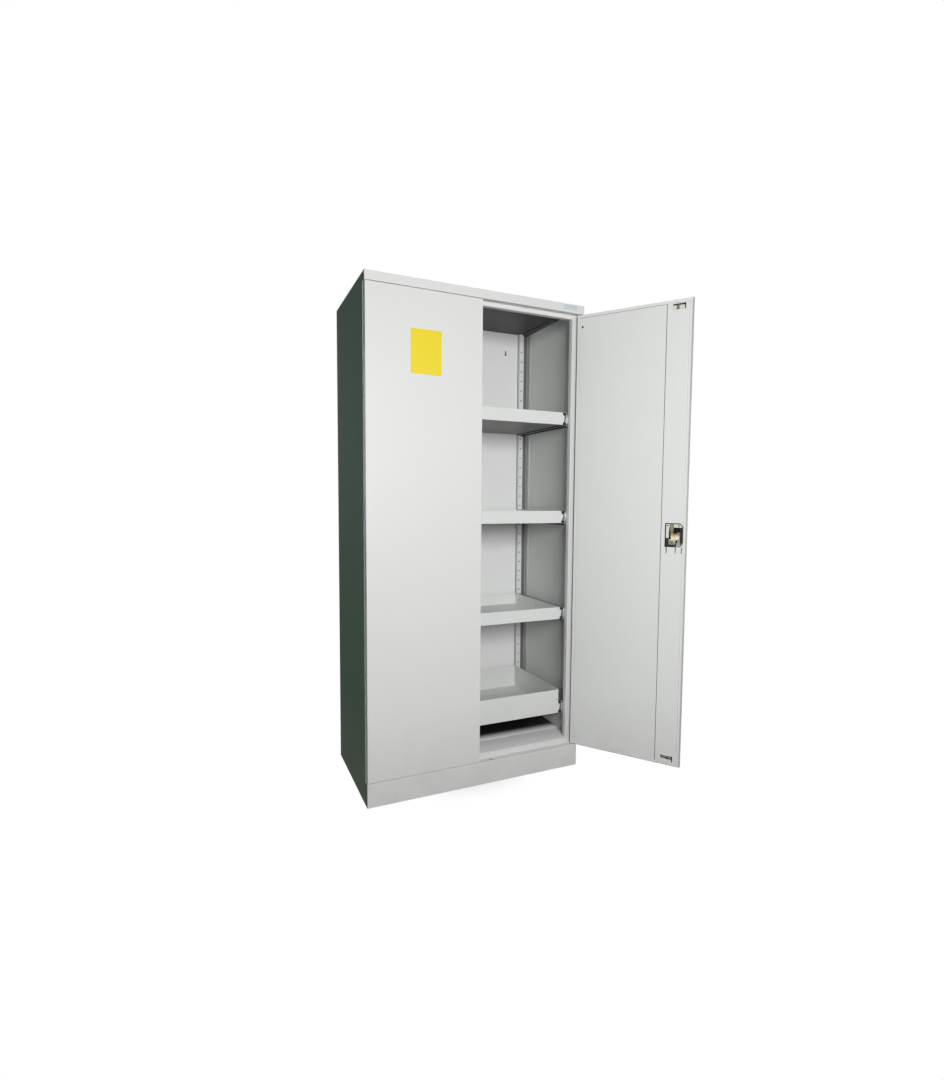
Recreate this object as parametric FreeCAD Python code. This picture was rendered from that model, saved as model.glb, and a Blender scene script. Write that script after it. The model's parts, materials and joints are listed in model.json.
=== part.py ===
import FreeCAD
import Part
import math
import os

# Two-leaf steel safety cabinet for bottles: a folded sheet carcass on a plinth, two pan-shaped leaves
# on corner pins, four pull-out trays on three-member ball slides in the right-hand bay, fixed trays in
# the left-hand bay, and a turning handle that drives two bolts through a pinion and two racks.
# Millimetres. X to the right, Y to the back, Z up. The origin is on the floor, in the middle of the
# carcass. The right leaf and all that it carries stand open, as the cabinet is stored.

V = FreeCAD.Vector

# Carcass sizes
width = 920.0
depth = 500.0
height = 1950.0
sheet = 1.2
bend = 0.8
plinth_height = 92.0
header_height = 34.0
sill_rise = 24.0
header_drop = 16.0
jamb_face = 36.0
frame_return = 20.5
back_recess = 20.8
rear_flange = 20.0
plinth_return = 30.0
ledge_lip = 20.0

# Leaf sizes
leaf_thickness = 20.0
leaf_sheet = 1.0
leaf_edge_radius = 1.5
leaf_side_gap = 1.5
leaf_end_gap = 2.0
meeting_gap = 3.0
leaf_return = 12.0
liner_gap = 1.5
liner_lap = 4.0
pivot_inset = 9.0
pivot_depth = 13.0
swing_clearance = 1.2
open_angle = 125.5

# Hinge pin sizes
pin_radius = 3.5
pin_head_radius = 6.5
pin_head_height = 3.0
pin_length_in_leaf = 7.0
pin_length_in_carcass = 9.0
bush_radius = 5.8
bush_length = 7.5
running_clearance = 0.05
thrust_clearance = 0.1

# Inside fittings
post_sheet = 1.5
post_from_side = 26.8
post_width = 21.0
post_depth = 17.1886
post_foot = 20.0
slot_width = 10.0
slot_height = 4.0
slot_pitch = 46.3
slots_per_level = 9
first_level = 103.0
level_count = 4
partition_width = 6.0
partition_gap = 1.0
partition_lip = 20.0
keyhole_spacing = 687.0
keyhole_below_top = 102.0
keyhole_radius = 5.0
keyhole_slot_width = 6.0
keyhole_slot_length = 18.0
rail_sheet = 1.5
centre_rail_width = 60.0
centre_rail_foot = 22.0
rear_rail_depth = 38.0

# Tray sizes
tray_sheet = 1.2
tray_front_setback = 30.0
tray_overhang = 3.0
tray_lip = 52.0
deep_tray_lip = 104.0
hem_depth = 8.0
shelf_play = 2.0
cleat_sheet = 1.5
cleat_leg = 20.0
cleat_drop = 25.0
cleat_end_gap = 1.5

# Slide sizes: the back of the outer member is u = 0 and the tray side is u = slide_width
slide_height = 53.0
slide_width = 19.0
slide_corner = 0.0
slide_sheet = 1.5
slide_lip = 2.5
slide_setback = 2.0
slide_rise = 25.0
outer_member_depth = 10.0
middle_member_start = 3.0
middle_member_end = 16.0
middle_half_height = 20.3
inner_member_depth = 11.0
inner_half_height = 14.2
member_shortening = 4.0
cage_sheet = 0.7
cage_length = 180.0
cage_arm = 6.0
cage_back_gap = 0.4
bracket_sheet = 2.0
bracket_reach = 70.0
bracket_half_height = 20.0

# Lock sizes: s runs from the hinge edge of the leaf to its free edge, d from its outer face inwards.
# A length named from_edge runs back from the free edge.
channel_from_edge = 95.5
channel_foot = 9.0
channel_gap = 0.5
window_width = 69.0
window_height = 94.0
window_from_edge = 81.0
window_chamfer = 12.0
window_corner = 3.0
window_above_axis = 6.0
slit_width = 3.0
slit_length = 24.0
slit_places = (7.0, 41.0, 64.0)
lock_axis_height = 1010.0
lock_axis_from_edge = 43.0
guide_slot_width = 47.0
guide_slot_height = 22.0
guide_slot_from_edge = 74.0
guide_slot_from_end = 16.0
case_inset = 4.0
case_wall = 1.2
case_depth = 16.0
cover_thickness = 1.2
cover_side_band = 11.0
cover_top_band = 13.0
cover_foot_length = 36.0
cover_foot_height = 19.0
cover_foot_rise = 8.0
tooth_module = 1.0
pressure_angle = math.radians(20)
pinion_teeth = 14
tooth_backlash = 0.16
tooth_addendum = 0.8
tooth_dedendum = 1.2
pinion_face = 5.0
pinion_start = 7.5
hub_radius = 5.0
hub_start = 1.1
cam_width = 33.0
cam_height = 26.0
cam_thickness = 3.0
cam_rounds = (9.0, 13.0, 13.0, 21.0, 9.0)
rod_width = 9.6
rod_thickness = 4.0
rod_play = 0.4
rod_start_depth = 8.0
rod_end_clearance = 1.0
rack_teeth = 7
upper_rack_below = 4.5
lower_rack_below = 1.5
rack_tail = 0.6
rod_head_width = 15.0
rod_head_length = 26.0
rod_head_depth = 18.0
rod_head_from_axis = 24.0
rod_crank = 21.5
rod_crank_run = 40.0
rod_crank_below_axis = 70.0
spindle_size = 6.5
spindle_end = 9.0
spindle_fit = 0.03
ledge_slot_play = 1.4
guide_height = 22.0
guide_lap = 2.0
guide_end_gap = 5.0
guide_web_gap = 0.5
upper_guide_drop = 6.0
lower_guide_drop = 8.5
lower_guide_notch = 5.0

# Handle sizes
escutcheon_width = 44.0
escutcheon_height = 120.0
escutcheon_thickness = 3.0
escutcheon_round = 8.0
collar_radius = 15.0
collar_length = 8.0
journal_radius = 6.5
journal_end = 0.9
thrust_gap = 0.3
grip_half_length = 34.0
grip_half_height = 9.0
grip_thickness = 16.0
grip_round = 7.0
grip_chamfer = 2.5
barrel_radius = 7.0
barrel_inner_end = 10.0
barrel_below_axis = 60.0
barrel_proud = 1.0
key_slot_width = 2.2
key_slot_length = 9.0
key_slot_depth = 6.0

# Magnetic catches of the left leaf
catch_length = 46.0
catch_height = 12.0
catch_from_middle = 24.0
catch_play = 0.3

# How far a cutting tool runs past a face
over = 1.0

# Places worked out from the sizes above
front = -depth / 2
rear = depth / 2
half = width / 2
side_inner = half - sheet
door_pocket = pivot_depth + math.hypot(pivot_inset, pivot_depth) + swing_clearance
stop_plane = front + door_pocket
ledge_top = plinth_height
header_bottom = height - header_height
floor_top = plinth_height + sill_rise
opening_top = header_bottom - header_drop
ceiling = height - sheet
back_face = rear - back_recess
back_outer = back_face + sheet
jamb_inner = side_inner - jamb_face
fitting_plane = jamb_inner + sheet
jamb_back = stop_plane + frame_return
partition_face = partition_width / 2
partition_start = jamb_back + partition_gap
leaf_hinge_edge = half - leaf_side_gap
leaf_free_edge = meeting_gap / 2
leaf_width = leaf_hinge_edge - leaf_free_edge
leaf_bottom = plinth_height + leaf_end_gap
leaf_top = header_bottom - leaf_end_gap
pivot_x = leaf_hinge_edge - pivot_inset
pivot_y = front + pivot_depth
pivot = V(pivot_x, pivot_y, 0)
tray_front = stop_plane + tray_front_setback
levels = [floor_top + first_level + k * slots_per_level * slot_pitch for k in range(level_count)]
tray_left = partition_face + slide_width
tray_right = fitting_plane - slide_width
pitch_radius = tooth_module * pinion_teeth / 2
tooth_pitch = math.pi * tooth_module
lock_axis_x = leaf_free_edge + lock_axis_from_edge
barrel_height = lock_axis_height - barrel_below_axis
window_centre = lock_axis_height + window_above_axis
rod_start_y = front + rod_start_depth
rod_end_y = rod_start_y + rod_thickness
web_back = leaf_thickness - leaf_sheet
channel_start = leaf_width - channel_from_edge
channel_end = leaf_width - leaf_return - channel_gap
window_start = leaf_width - window_from_edge
guide_slot_start = leaf_width - guide_slot_from_edge
rack_root = pitch_radius + tooth_dedendum
upper_rod_x = lock_axis_x + rack_root + rod_width / 2
lower_rack_x = lock_axis_x - rack_root - rod_width / 2
lower_rod_x = lower_rack_x + rod_crank
slide_front = tray_front + slide_setback
post_start = side_inner - post_from_side - post_width
post_front = back_face - post_depth
slide_length = post_front - slide_front
tray_depth = slide_setback + slide_length + tray_overhang
slide_middle_y = slide_front + slide_length / 2
cage_arm_height = (slide_height / 2 - slide_sheet + middle_half_height + cage_sheet) / 2
inner_cage_height = (middle_half_height - slide_sheet + inner_half_height + cage_sheet) / 2


def box(x0, x1, y0, y1, z0, z1):
    """A block between two corners."""
    return Part.makeBox(x1 - x0, y1 - y0, z1 - z0, V(x0, y0, z0))


def cylinder(radius, start, direction, length):
    """A round bar from a point along a direction."""
    return Part.makeCylinder(radius, length, start, direction)


def in_xy(z):
    """Puts a flat point on the level plane at height z."""
    return lambda u, v: V(u, v, z)


def in_yz(x):
    """Puts a flat point on the upright plane across X."""
    return lambda u, v: V(x, u, v)


def in_xz(y):
    """Puts a flat point on the upright plane across Y."""
    return lambda u, v: V(u, y, v)


def outline(points, radii, place):
    """A flat face inside a polygon whose corners are rounded by the given radii."""
    corners = []
    count = len(points)
    for i, (u, v) in enumerate(points):
        before = points[i - 1]
        after = points[(i + 1) % count]
        a = math.hypot(before[0] - u, before[1] - v)
        b = math.hypot(after[0] - u, after[1] - v)
        d1 = ((before[0] - u) / a, (before[1] - v) / a)
        d2 = ((after[0] - u) / b, (after[1] - v) / b)
        if radii[i] <= 0:
            corners.append(((u, v), None, (u, v)))
            continue
        half_turn = math.acos(max(-1.0, min(1.0, d1[0] * d2[0] + d1[1] * d2[1]))) / 2
        cut = radii[i] / math.tan(half_turn)
        reach = radii[i] / math.sin(half_turn)
        bis = (d1[0] + d2[0], d1[1] + d2[1])
        size = math.hypot(*bis)
        bis = (bis[0] / size, bis[1] / size)
        start = (u + d1[0] * cut, v + d1[1] * cut)
        end = (u + d2[0] * cut, v + d2[1] * cut)
        middle = (u + bis[0] * (reach - radii[i]), v + bis[1] * (reach - radii[i]))
        corners.append((start, middle, end))
    edges = []
    for i, (start, middle, end) in enumerate(corners):
        last = corners[i - 1][2]
        if math.hypot(start[0] - last[0], start[1] - last[1]) > 1e-6:
            edges.append(Part.LineSegment(place(*last), place(*start)).toShape())
        if middle:
            edges.append(Part.Arc(place(*start), place(*middle), place(*end)).toShape())
    return Part.Face(Part.Wire(edges))


def folded(path, side, thickness, radius, place, run):
    """Folded sheet. The path is one face of the section; side 1 puts the metal on its left, -1 right."""
    normals = []
    for (u0, v0), (u1, v1) in zip(path, path[1:]):
        size = math.hypot(u1 - u0, v1 - v0)
        normals.append((-(v1 - v0) / size * side, (u1 - u0) / size * side))
    offset = []
    path_radii = []
    offset_radii = []
    for i, (u, v) in enumerate(path):
        n1 = normals[max(i - 1, 0)]
        n2 = normals[min(i, len(normals) - 1)]
        scale = thickness / (1 + n1[0] * n2[0] + n1[1] * n2[1])
        offset.append((u + (n1[0] + n2[0]) * scale, v + (n1[1] + n2[1]) * scale))
        turn = (n1[0] * n2[1] - n1[1] * n2[0]) * side
        ends = i in (0, len(path) - 1)
        sharp = ends or radius == 0
        path_radii.append(0 if sharp else radius + (thickness if turn > 0 else 0))
        offset_radii.append(0 if sharp else radius + (0 if turn > 0 else thickness))
    face = outline(path + offset[::-1], path_radii + offset_radii[::-1], place)
    return face.extrude(run)


def mirrored(shape):
    """The same piece for the other side of the cabinet."""
    return shape.mirror(V(0, 0, 0), V(1, 0, 0))


def opened(shape):
    """A piece of the right leaf, turned from shut to the pose that the leaf is stored in."""
    turned = shape.copy()
    turned.rotate(pivot, V(0, 0, 1), open_angle)
    return turned


def group(solids):
    """Several separate pieces in one node."""
    return Part.makeCompound(solids)


def leaf_box(s0, s1, d0, d1, z0, z1):
    """A block placed by its distance from the hinge edge and its depth into the shut right leaf."""
    return box(leaf_hinge_edge - s1, leaf_hinge_edge - s0, front + d0, front + d1, z0, z1)


# Carcass

def side_panel():
    """Right side: full height, notched at the front where the leaf swings, flange turned in behind."""
    path = [(half, front), (half, rear), (half - rear_flange, rear)]
    panel = folded(path, 1, sheet, bend, in_xy(0), V(0, 0, height))
    notch = box(side_inner - over, half + over, front - over, stop_plane, ledge_top, header_bottom)
    return panel.cut(notch)


def top_panel():
    """Top sheet, header, the ledge over the leaves, the stop strip behind them and its return."""
    path = [
        (rear - sheet, height), (front, height), (front, header_bottom),
        (stop_plane, header_bottom), (stop_plane, opening_top),
        (stop_plane + frame_return, opening_top),
    ]
    panel = folded(path, 1, sheet, bend, in_yz(-side_inner), V(2 * side_inner, 0, 0))
    return cut_ledge(panel, header_bottom - sheet, header_bottom + 2 * sheet)


def cut_ledge(panel, z0, z1):
    """Holes for the hinge pins and a slot for the bolt in the ledge over or under the leaves."""
    for x in (-pivot_x, pivot_x):
        panel = panel.cut(cylinder(pin_radius, V(x, pivot_y, z0), V(0, 0, 1), z1 - z0))
    bolt_x = upper_rod_x if z0 > lock_axis_height else lower_rod_x
    play = ledge_slot_play
    slot = box(bolt_x - rod_width / 2 - play, bolt_x + rod_width / 2 + play,
               rod_start_y - play, rod_end_y + play, z0, z1)
    return panel.cut(slot)


def front_plinth():
    """Plinth front with its foot, the ledge under the leaves and the lip behind the ledge."""
    ledge_back = stop_plane + sheet + ledge_lip / 2
    path = [
        (front + plinth_return, 0), (front, 0), (front, ledge_top),
        (ledge_back, ledge_top), (ledge_back, ledge_top - ledge_lip),
    ]
    panel = folded(path, -1, sheet, bend, in_yz(-side_inner), V(2 * side_inner, 0, 0))
    return cut_ledge(panel, ledge_top - 2 * sheet, ledge_top + sheet)


def floor_panel():
    """Floor sheet with the sill strip turned down at the front, on to the plinth ledge."""
    path = [(stop_plane, ledge_top), (stop_plane, floor_top), (back_face, floor_top)]
    return folded(path, -1, sheet, bend, in_yz(-side_inner), V(2 * side_inner, 0, 0))


def back_panel():
    """Back sheet set in from the rear edge, flanged all round, with two wall-fixing keyholes."""
    pan = box(-side_inner, side_inner, back_face, rear - sheet - bend, 0, ceiling)
    inside = box(-side_inner + sheet, side_inner - sheet, back_outer, rear, sheet, ceiling - sheet)
    pan = pan.cut(inside)
    for x in (-keyhole_spacing / 2, keyhole_spacing / 2):
        z = height - keyhole_below_top
        start = V(x, back_face - over, z)
        pan = pan.cut(cylinder(keyhole_radius, start, V(0, 1, 0), sheet + 2 * over))
        half_slot = keyhole_slot_width / 2
        pan = pan.cut(box(x - half_slot, x + half_slot, back_face - over, back_outer + over,
                          z, z + keyhole_slot_length))
    return pan


def base_rails():
    """Middle rail from front to back, which stands on the floor, and the rail under the rear edge."""
    under = floor_top - sheet
    t = rail_sheet
    w = centre_rail_width / 2
    foot = centre_rail_foot
    rail_front = stop_plane + sheet + ledge_lip / 2
    rail_back = back_face - rear_rail_depth
    path = [(-w - foot, under), (-w, under), (-w, t), (w, t), (w, under), (w + foot, under)]
    middle = folded(path, -1, t, 0, in_xz(rail_front), V(0, rail_back - rail_front, 0))
    path = [(rail_back, 0), (back_face, 0), (back_face, under), (rail_back, under)]
    back = folded(path, 1, t, 0, in_yz(-side_inner), V(2 * side_inner, 0, 0))
    return group([middle, back])


def jamb():
    """Right door stop: strip behind the hinge edge, return along the bay, foot on the side panel."""
    path = [
        (side_inner, jamb_back), (side_inner, stop_plane),
        (jamb_inner, stop_plane), (jamb_inner, jamb_back),
    ]
    return folded(path, -1, sheet, bend, in_xy(floor_top), V(0, 0, opening_top - floor_top))


def rear_post():
    """Right rear upright on the back sheet, with a column of slots that takes the slide ends."""
    x0 = post_start
    x1 = x0 + post_width
    path = [
        (x0, back_face), (x0, post_front), (x1, post_front),
        (x1, back_face - post_sheet), (x1 + post_foot, back_face - post_sheet),
    ]
    post = folded(path, 1, post_sheet, 0, in_xy(floor_top), V(0, 0, ceiling - floor_top))
    middle = (x0 + x1) / 2
    count = int((ceiling - floor_top - slot_pitch) / slot_pitch)
    first = floor_top + first_level + slide_rise - 2 * slot_pitch
    slots = []
    for k in range(count):
        z = first + k * slot_pitch
        slots.append(box(middle - slot_width / 2, middle + slot_width / 2,
                         post_front - over, post_front + post_sheet + over,
                         z - slot_height / 2, z + slot_height / 2))
    return post.cut(slots)


def central_partition():
    """Upright sheet between the bays, lipped at the front and turned along the back panel."""
    p = partition_face
    path = [
        (-p, partition_start + partition_lip), (-p, partition_start), (p, partition_start),
        (p, back_face), (p - partition_lip, back_face),
    ]
    return folded(path, 1, sheet, bend, in_xy(floor_top), V(0, 0, ceiling - floor_top))


def hinge_pins():
    """Four corner pins: hexagon heads on the ledge over the leaves, collars on the one below."""
    pins = []
    sixth = math.pi / 3
    for x in (-pivot_x, pivot_x):
        up = V(x, pivot_y, leaf_top - pin_length_in_leaf)
        head_z = header_bottom + sheet
        top = cylinder(pin_radius, up, V(0, 0, 1), head_z - up.z)
        corners = [(x + pin_head_radius * math.cos(k * sixth),
                    pivot_y + pin_head_radius * math.sin(k * sixth)) for k in range(6)]
        head = outline(corners, [0] * 6, in_xy(head_z)).extrude(V(0, 0, pin_head_height))
        pins.append(top.fuse(head).removeSplitter())
        low = V(x, pivot_y, ledge_top - pin_length_in_carcass)
        bottom = cylinder(pin_radius, low, V(0, 0, 1),
                          leaf_bottom + pin_length_in_leaf - low.z)
        collar = cylinder(pin_head_radius, V(x, pivot_y, ledge_top), V(0, 0, 1),
                          leaf_end_gap - thrust_clearance)
        pins.append(bottom.fuse(collar).removeSplitter())
    return group(pins)


def magnet_catches():
    """Magnetic catches that hold the left leaf shut, on the strips above and below it."""
    x1 = -catch_from_middle
    y0 = front + leaf_thickness + catch_play
    blocks = []
    for z in ((opening_top + header_bottom) / 2, (leaf_bottom + floor_top) / 2):
        blocks.append(box(x1 - catch_length, x1, y0, stop_plane,
                          z - catch_height / 2, z + catch_height / 2))
    return group(blocks)


# Trays, fixed trays and slides

def tray(x0, x1, y0, y1, bottom, lip):
    """Folded tray: four walls with hemmed top edges round a flat floor, a flat at each corner bend."""
    t = tray_sheet
    top = bottom + lip
    body = box(x0, x1, y0, y1, bottom, top)
    body = body.cut(box(x0 + t, x1 - t, y0 + t, y1 - t, bottom + t, top - hem_depth))
    body = body.cut(box(x0 + 2 * t, x1 - 2 * t, y0 + 2 * t, y1 - 2 * t, bottom + t, top + over))
    upright = [e for e in body.Edges if is_outer_corner(e, x0, x1, y0, y1)]
    return body.makeChamfer((bend + t) / 2, upright)


def is_outer_corner(edge, x0, x1, y0, y1):
    """True for the four upright outer edges of a tray."""
    a = edge.Vertexes[0].Point
    b = edge.Vertexes[-1].Point
    on_x = min(abs(a.x - x0), abs(a.x - x1)) < 1e-6
    on_y = min(abs(a.y - y0), abs(a.y - y1)) < 1e-6
    return on_x and on_y and abs(a.x - b.x) < 1e-6 and abs(a.y - b.y) < 1e-6


def pull_out_tray(level):
    """Tray of the right bay; the lowest one has deeper walls."""
    lip = deep_tray_lip if level == levels[0] else tray_lip
    return tray(tray_left, tray_right, tray_front, tray_front + tray_depth, level, lip)


def fixed_tray(level):
    """Tray of the left bay, which rests on two cleats."""
    x0 = -fitting_plane + cleat_sheet + shelf_play
    x1 = -partition_face - shelf_play
    return tray(x0, x1, tray_front, post_front - shelf_play, level, tray_lip)


def shelf_cleats():
    """Angles under the fixed trays: one from jamb to rear post, one on the partition."""
    t = cleat_sheet
    cleats = []
    for z in levels[1:]:
        x = -fitting_plane
        upright = box(x - t, x, stop_plane + 2 * sheet, post_front, z - cleat_drop, z)
        leg = box(x - t, x + cleat_leg, jamb_back + cleat_end_gap, post_front, z - t, z)
        cleats.append(upright.fuse(leg).removeSplitter())
        x = partition_face - sheet
        y0 = partition_start + partition_lip + cleat_end_gap
        y1 = back_face - sheet - cleat_end_gap
        upright = box(x - t, x, y0, y1, z - cleat_drop, z)
        leg = box(x - t - cleat_leg, x, y0, y1, z - t, z)
        cleats.append(upright.fuse(leg).removeSplitter())
    return group(cleats)


def slide_brackets():
    """Plates that join the front of each right-hand outer member to the return of the jamb."""
    plates = []
    for level in levels:
        z = level + slide_rise
        plates.append(box(fitting_plane, fitting_plane + bracket_sheet,
                          stop_plane + 2 * sheet, jamb_back + bracket_reach,
                          z - bracket_half_height, z + bracket_half_height))
    return group(plates)


def channel_section(back, end, half_height, lip):
    """Section of one slide member: web at u = back, flanges to u = end, with turned-in lips."""
    section = [(end, half_height), (back, half_height), (back, -half_height), (end, -half_height)]
    if lip:
        section = [(end, half_height - lip)] + section + [(end, -half_height + lip)]
    return section


def slide_pair(level, section, thickness, y0, length):
    """The same member at both sides of one tray."""
    z = level + slide_rise
    run = V(0, length, 0)
    pair = []
    for face, sign in ((fitting_plane, -1), (partition_face, 1)):
        path = [(face + sign * u, z + v) for u, v in section]
        pair.append(folded(path, sign, thickness, slide_corner, in_xz(y0), run))
    return group(pair)


def outer_member(level):
    """Fixed channel of the slide, open towards the tray, with lips that keep the balls in."""
    section = channel_section(0, outer_member_depth, slide_height / 2, slide_lip)
    return slide_pair(level, section, slide_sheet, slide_front, slide_length)


def middle_member(level):
    """Travelling channel between the outer and the inner member."""
    section = channel_section(middle_member_start, middle_member_end, middle_half_height, 0)
    length = slide_length - member_shortening
    return slide_pair(level, section, slide_sheet, slide_front + member_shortening / 2, length)


def inner_member(level):
    """Channel screwed to the side of the tray, open towards the middle member."""
    back = slide_width
    section = channel_section(back, back - inner_member_depth, inner_half_height, 0)
    section = section[::-1]
    return slide_pair(level, section, slide_sheet, slide_front, slide_length - member_shortening)


def outer_cage(level):
    """Ball cage between the outer and the middle member."""
    back = slide_sheet + cage_back_gap
    section = channel_section(back, back + cage_arm, cage_arm_height, 0)
    return slide_pair(level, section, cage_sheet, slide_middle_y - cage_length / 2, cage_length)


def inner_cage(level):
    """Ball cage between the middle and the inner member."""
    back = middle_member_start + slide_sheet + cage_back_gap
    section = channel_section(back, back + cage_arm, inner_cage_height, 0)
    return slide_pair(level, section, cage_sheet, slide_middle_y - cage_length / 2, cage_length)


# Leaves

def leaf_skin(lock):
    """Pan of one shut leaf: outer face, four edges and the return round the back, with its holes."""
    z0 = leaf_bottom
    z1 = leaf_top
    t = leaf_sheet
    r = leaf_return
    pan = leaf_box(0, leaf_width, 0, leaf_thickness, z0, z1)
    rim = [e for e in pan.Edges if abs(e.Vertexes[0].Y - e.Vertexes[-1].Y) < 1e-6]
    pan = pan.makeFillet(leaf_edge_radius, rim)
    pan = pan.cut(leaf_box(t, leaf_width - t, t, web_back, z0 + t, z1 - t))
    pan = pan.cut(leaf_box(r, leaf_width - r, web_back - t, leaf_thickness + t, z0 + r, z1 - r))
    for z in (z0, z1 - t):
        start = V(pivot_x, pivot_y, z - t)
        pan = pan.cut(cylinder(bush_radius, start, V(0, 0, 1), 3 * t))
    if lock:
        for x, z in ((upper_rod_x, z1 - t), (lower_rod_x, z0)):
            pan = pan.cut(rod_slot(x, z - t, z + 2 * t))
        pan = pan.cut(outer_bores(t))
    return pan


def rod_slot(x, z0, z1):
    """Clearance slot for a bolt."""
    w = rod_width / 2 + rod_play
    return box(x - w, x + w, rod_start_y - rod_play, rod_end_y + rod_play, z0, z1)


def outer_bores(inner_depth):
    """Bores for the handle journal and the key barrel, through the escutcheon and the outer face."""
    length = escutcheon_thickness + inner_depth + 2 * over
    bores = []
    for radius, z in ((journal_radius, lock_axis_height), (barrel_radius, barrel_height)):
        start = V(lock_axis_x, front - escutcheon_thickness - over, z)
        bores.append(cylinder(radius + running_clearance, start, V(0, 1, 0), length))
    return bores


def leaf_liner(s_end, free_lap):
    """Inner sheet of a leaf, joggled at its edges so that they lie under the return."""
    t = leaf_sheet
    s0 = leaf_return + liner_gap
    z0 = leaf_bottom + s0
    z1 = leaf_top - s0
    face = leaf_box(s0, s_end, web_back, leaf_thickness, z0, z1)
    lap0 = leaf_return - liner_lap
    lap_end = leaf_width - lap0 if free_lap else s_end
    lap = leaf_box(lap0, lap_end, web_back - t, web_back, leaf_bottom + lap0, leaf_top - lap0)
    inner_end = s_end - t
    hollow = leaf_box(s0 + t, inner_end, web_back - 2 * t, web_back, z0 + t, z1 - t)
    liner = face.fuse(lap.cut(hollow))
    if not free_lap:
        stop = leaf_box(s_end - t, s_end, 2 * t, web_back, z0, z1)
        liner = liner.fuse(stop)
    return liner.removeSplitter()


def lock_channel():
    """Hat-shaped channel behind the free edge, with the window over the lock and two slots."""
    t = leaf_sheet
    s0 = channel_start + t
    s1 = channel_end - t
    section = [
        (s0 - t - channel_foot, t), (s0, t), (s0, web_back),
        (s1, web_back), (s1, t), (s1 + channel_foot, t),
    ]
    path = [(leaf_hinge_edge - s, front + d) for s, d in section]
    z0 = leaf_bottom + leaf_return + channel_gap
    z1 = leaf_top - leaf_return - channel_gap
    channel = folded(path, -1, t, bend, in_xy(z0), V(0, 0, z1 - z0))
    channel = channel.cut(window_block(0, window_corner, web_back - t, leaf_thickness + t))
    low = window_centre - window_height / 2
    for place in slit_places:
        s = window_start + place
        channel = channel.cut(leaf_box(s - slit_width / 2, s + slit_width / 2, web_back - t,
                                       leaf_thickness + t, low - slit_length, low + over))
    g0 = guide_slot_start
    g1 = g0 + guide_slot_width
    for z in (leaf_bottom + guide_slot_from_end,
              leaf_top - guide_slot_from_end - guide_slot_height):
        channel = channel.cut(leaf_box(g0, g1, web_back - t, leaf_thickness + t,
                                       z, z + guide_slot_height))
    return channel


def window_block(inset, corner, d0, d1):
    """A block with the outline of the lock window, moved in by an inset, between two depths."""
    a = leaf_hinge_edge - window_start - inset
    b = leaf_hinge_edge - window_start - window_width + inset
    low = window_centre - window_height / 2 + inset
    high = window_centre + window_height / 2 - inset
    c = window_chamfer - inset * (2 - math.sqrt(2))
    corners = [(a, low), (a, high), (b + c, high), (b, high - c), (b, low + c), (b + c, low)]
    face = outline(corners, [corner] * len(corners), in_xz(front + d0))
    return face.extrude(V(0, d1 - d0, 0))


def hinge_bushes():
    """Flush bushes in the top and bottom edges of a leaf, on the hinge axis."""
    bushes = []
    for z in (leaf_bottom, leaf_top - bush_length):
        start = V(pivot_x, pivot_y, z)
        bush = cylinder(bush_radius, start, V(0, 0, 1), bush_length)
        bore = cylinder(pin_radius + running_clearance, start, V(0, 0, 1), bush_length)
        bushes.append(bush.cut(bore))
    return group(bushes)


# Lock

def lock_case():
    """Box behind the window that carries the pinion, with a part cover and ways for the bolts."""
    w = case_wall
    d0 = leaf_sheet
    d1 = d0 + case_depth
    inner = case_inset + w
    case = window_block(case_inset, 0, d0, d1)
    case = case.cut(window_block(inner, 0, d0 + w, d1 - cover_thickness))
    s0 = window_start + case_inset
    s1 = window_start + window_width
    low = window_centre - window_height / 2 + case_inset
    high = window_centre + window_height / 2 - case_inset
    foot = low + cover_foot_rise
    foot_top = foot + cover_foot_height
    hole = leaf_box(s0 + cover_side_band, s1, 0, leaf_thickness, foot_top, high - cover_top_band)
    hole = hole.fuse([leaf_box(s0 + cover_foot_length, s1, 0, leaf_thickness, low, foot_top),
                      leaf_box(s0, s1, 0, leaf_thickness, low, foot)])
    case = case.cut(window_block(inner, 0, d1 - cover_thickness - over, d1 + over).common(hole))
    bore = cylinder(hub_radius + running_clearance, V(lock_axis_x, front, lock_axis_height),
                    V(0, 1, 0), d0 + 2 * w)
    case = case.cut(bore)
    half_way = rod_head_width / 2 + rod_play
    y0 = rod_start_y - rod_play
    y1 = front + d1 + over
    case = case.cut(box(upper_rod_x - half_way, upper_rod_x + half_way, y0, y1,
                        high - cover_top_band, high + over))
    return case.cut(box(lower_rack_x - half_way, lower_rack_x + half_way, y0, y1,
                        low - over, low + window_chamfer))


def involute(angle):
    """The involute function, for the thickness of a tooth at a given radius."""
    return math.tan(angle) - angle


def pinion_outline():
    """Points of the involute pinion round its axis, with a tooth on the positive X axis."""
    base = pitch_radius * math.cos(pressure_angle)
    tip = pitch_radius + tooth_addendum
    root = pitch_radius - tooth_dedendum
    half_pitch_angle = (tooth_pitch / 2 - tooth_backlash / 2) / 2 / pitch_radius
    flank = [(root, half_pitch_angle + involute(pressure_angle))]
    for radius in (base, pitch_radius, tip):
        here = math.acos(base / radius)
        flank.append((radius, half_pitch_angle + involute(pressure_angle) - involute(here)))
    points = []
    for k in range(pinion_teeth):
        middle = 2 * math.pi * k / pinion_teeth
        for radius, turn in flank:
            points.append((radius, middle - turn))
        for radius, turn in flank[::-1]:
            points.append((radius, middle + turn))
    return [(r * math.cos(a), r * math.sin(a)) for r, a in points]


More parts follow.
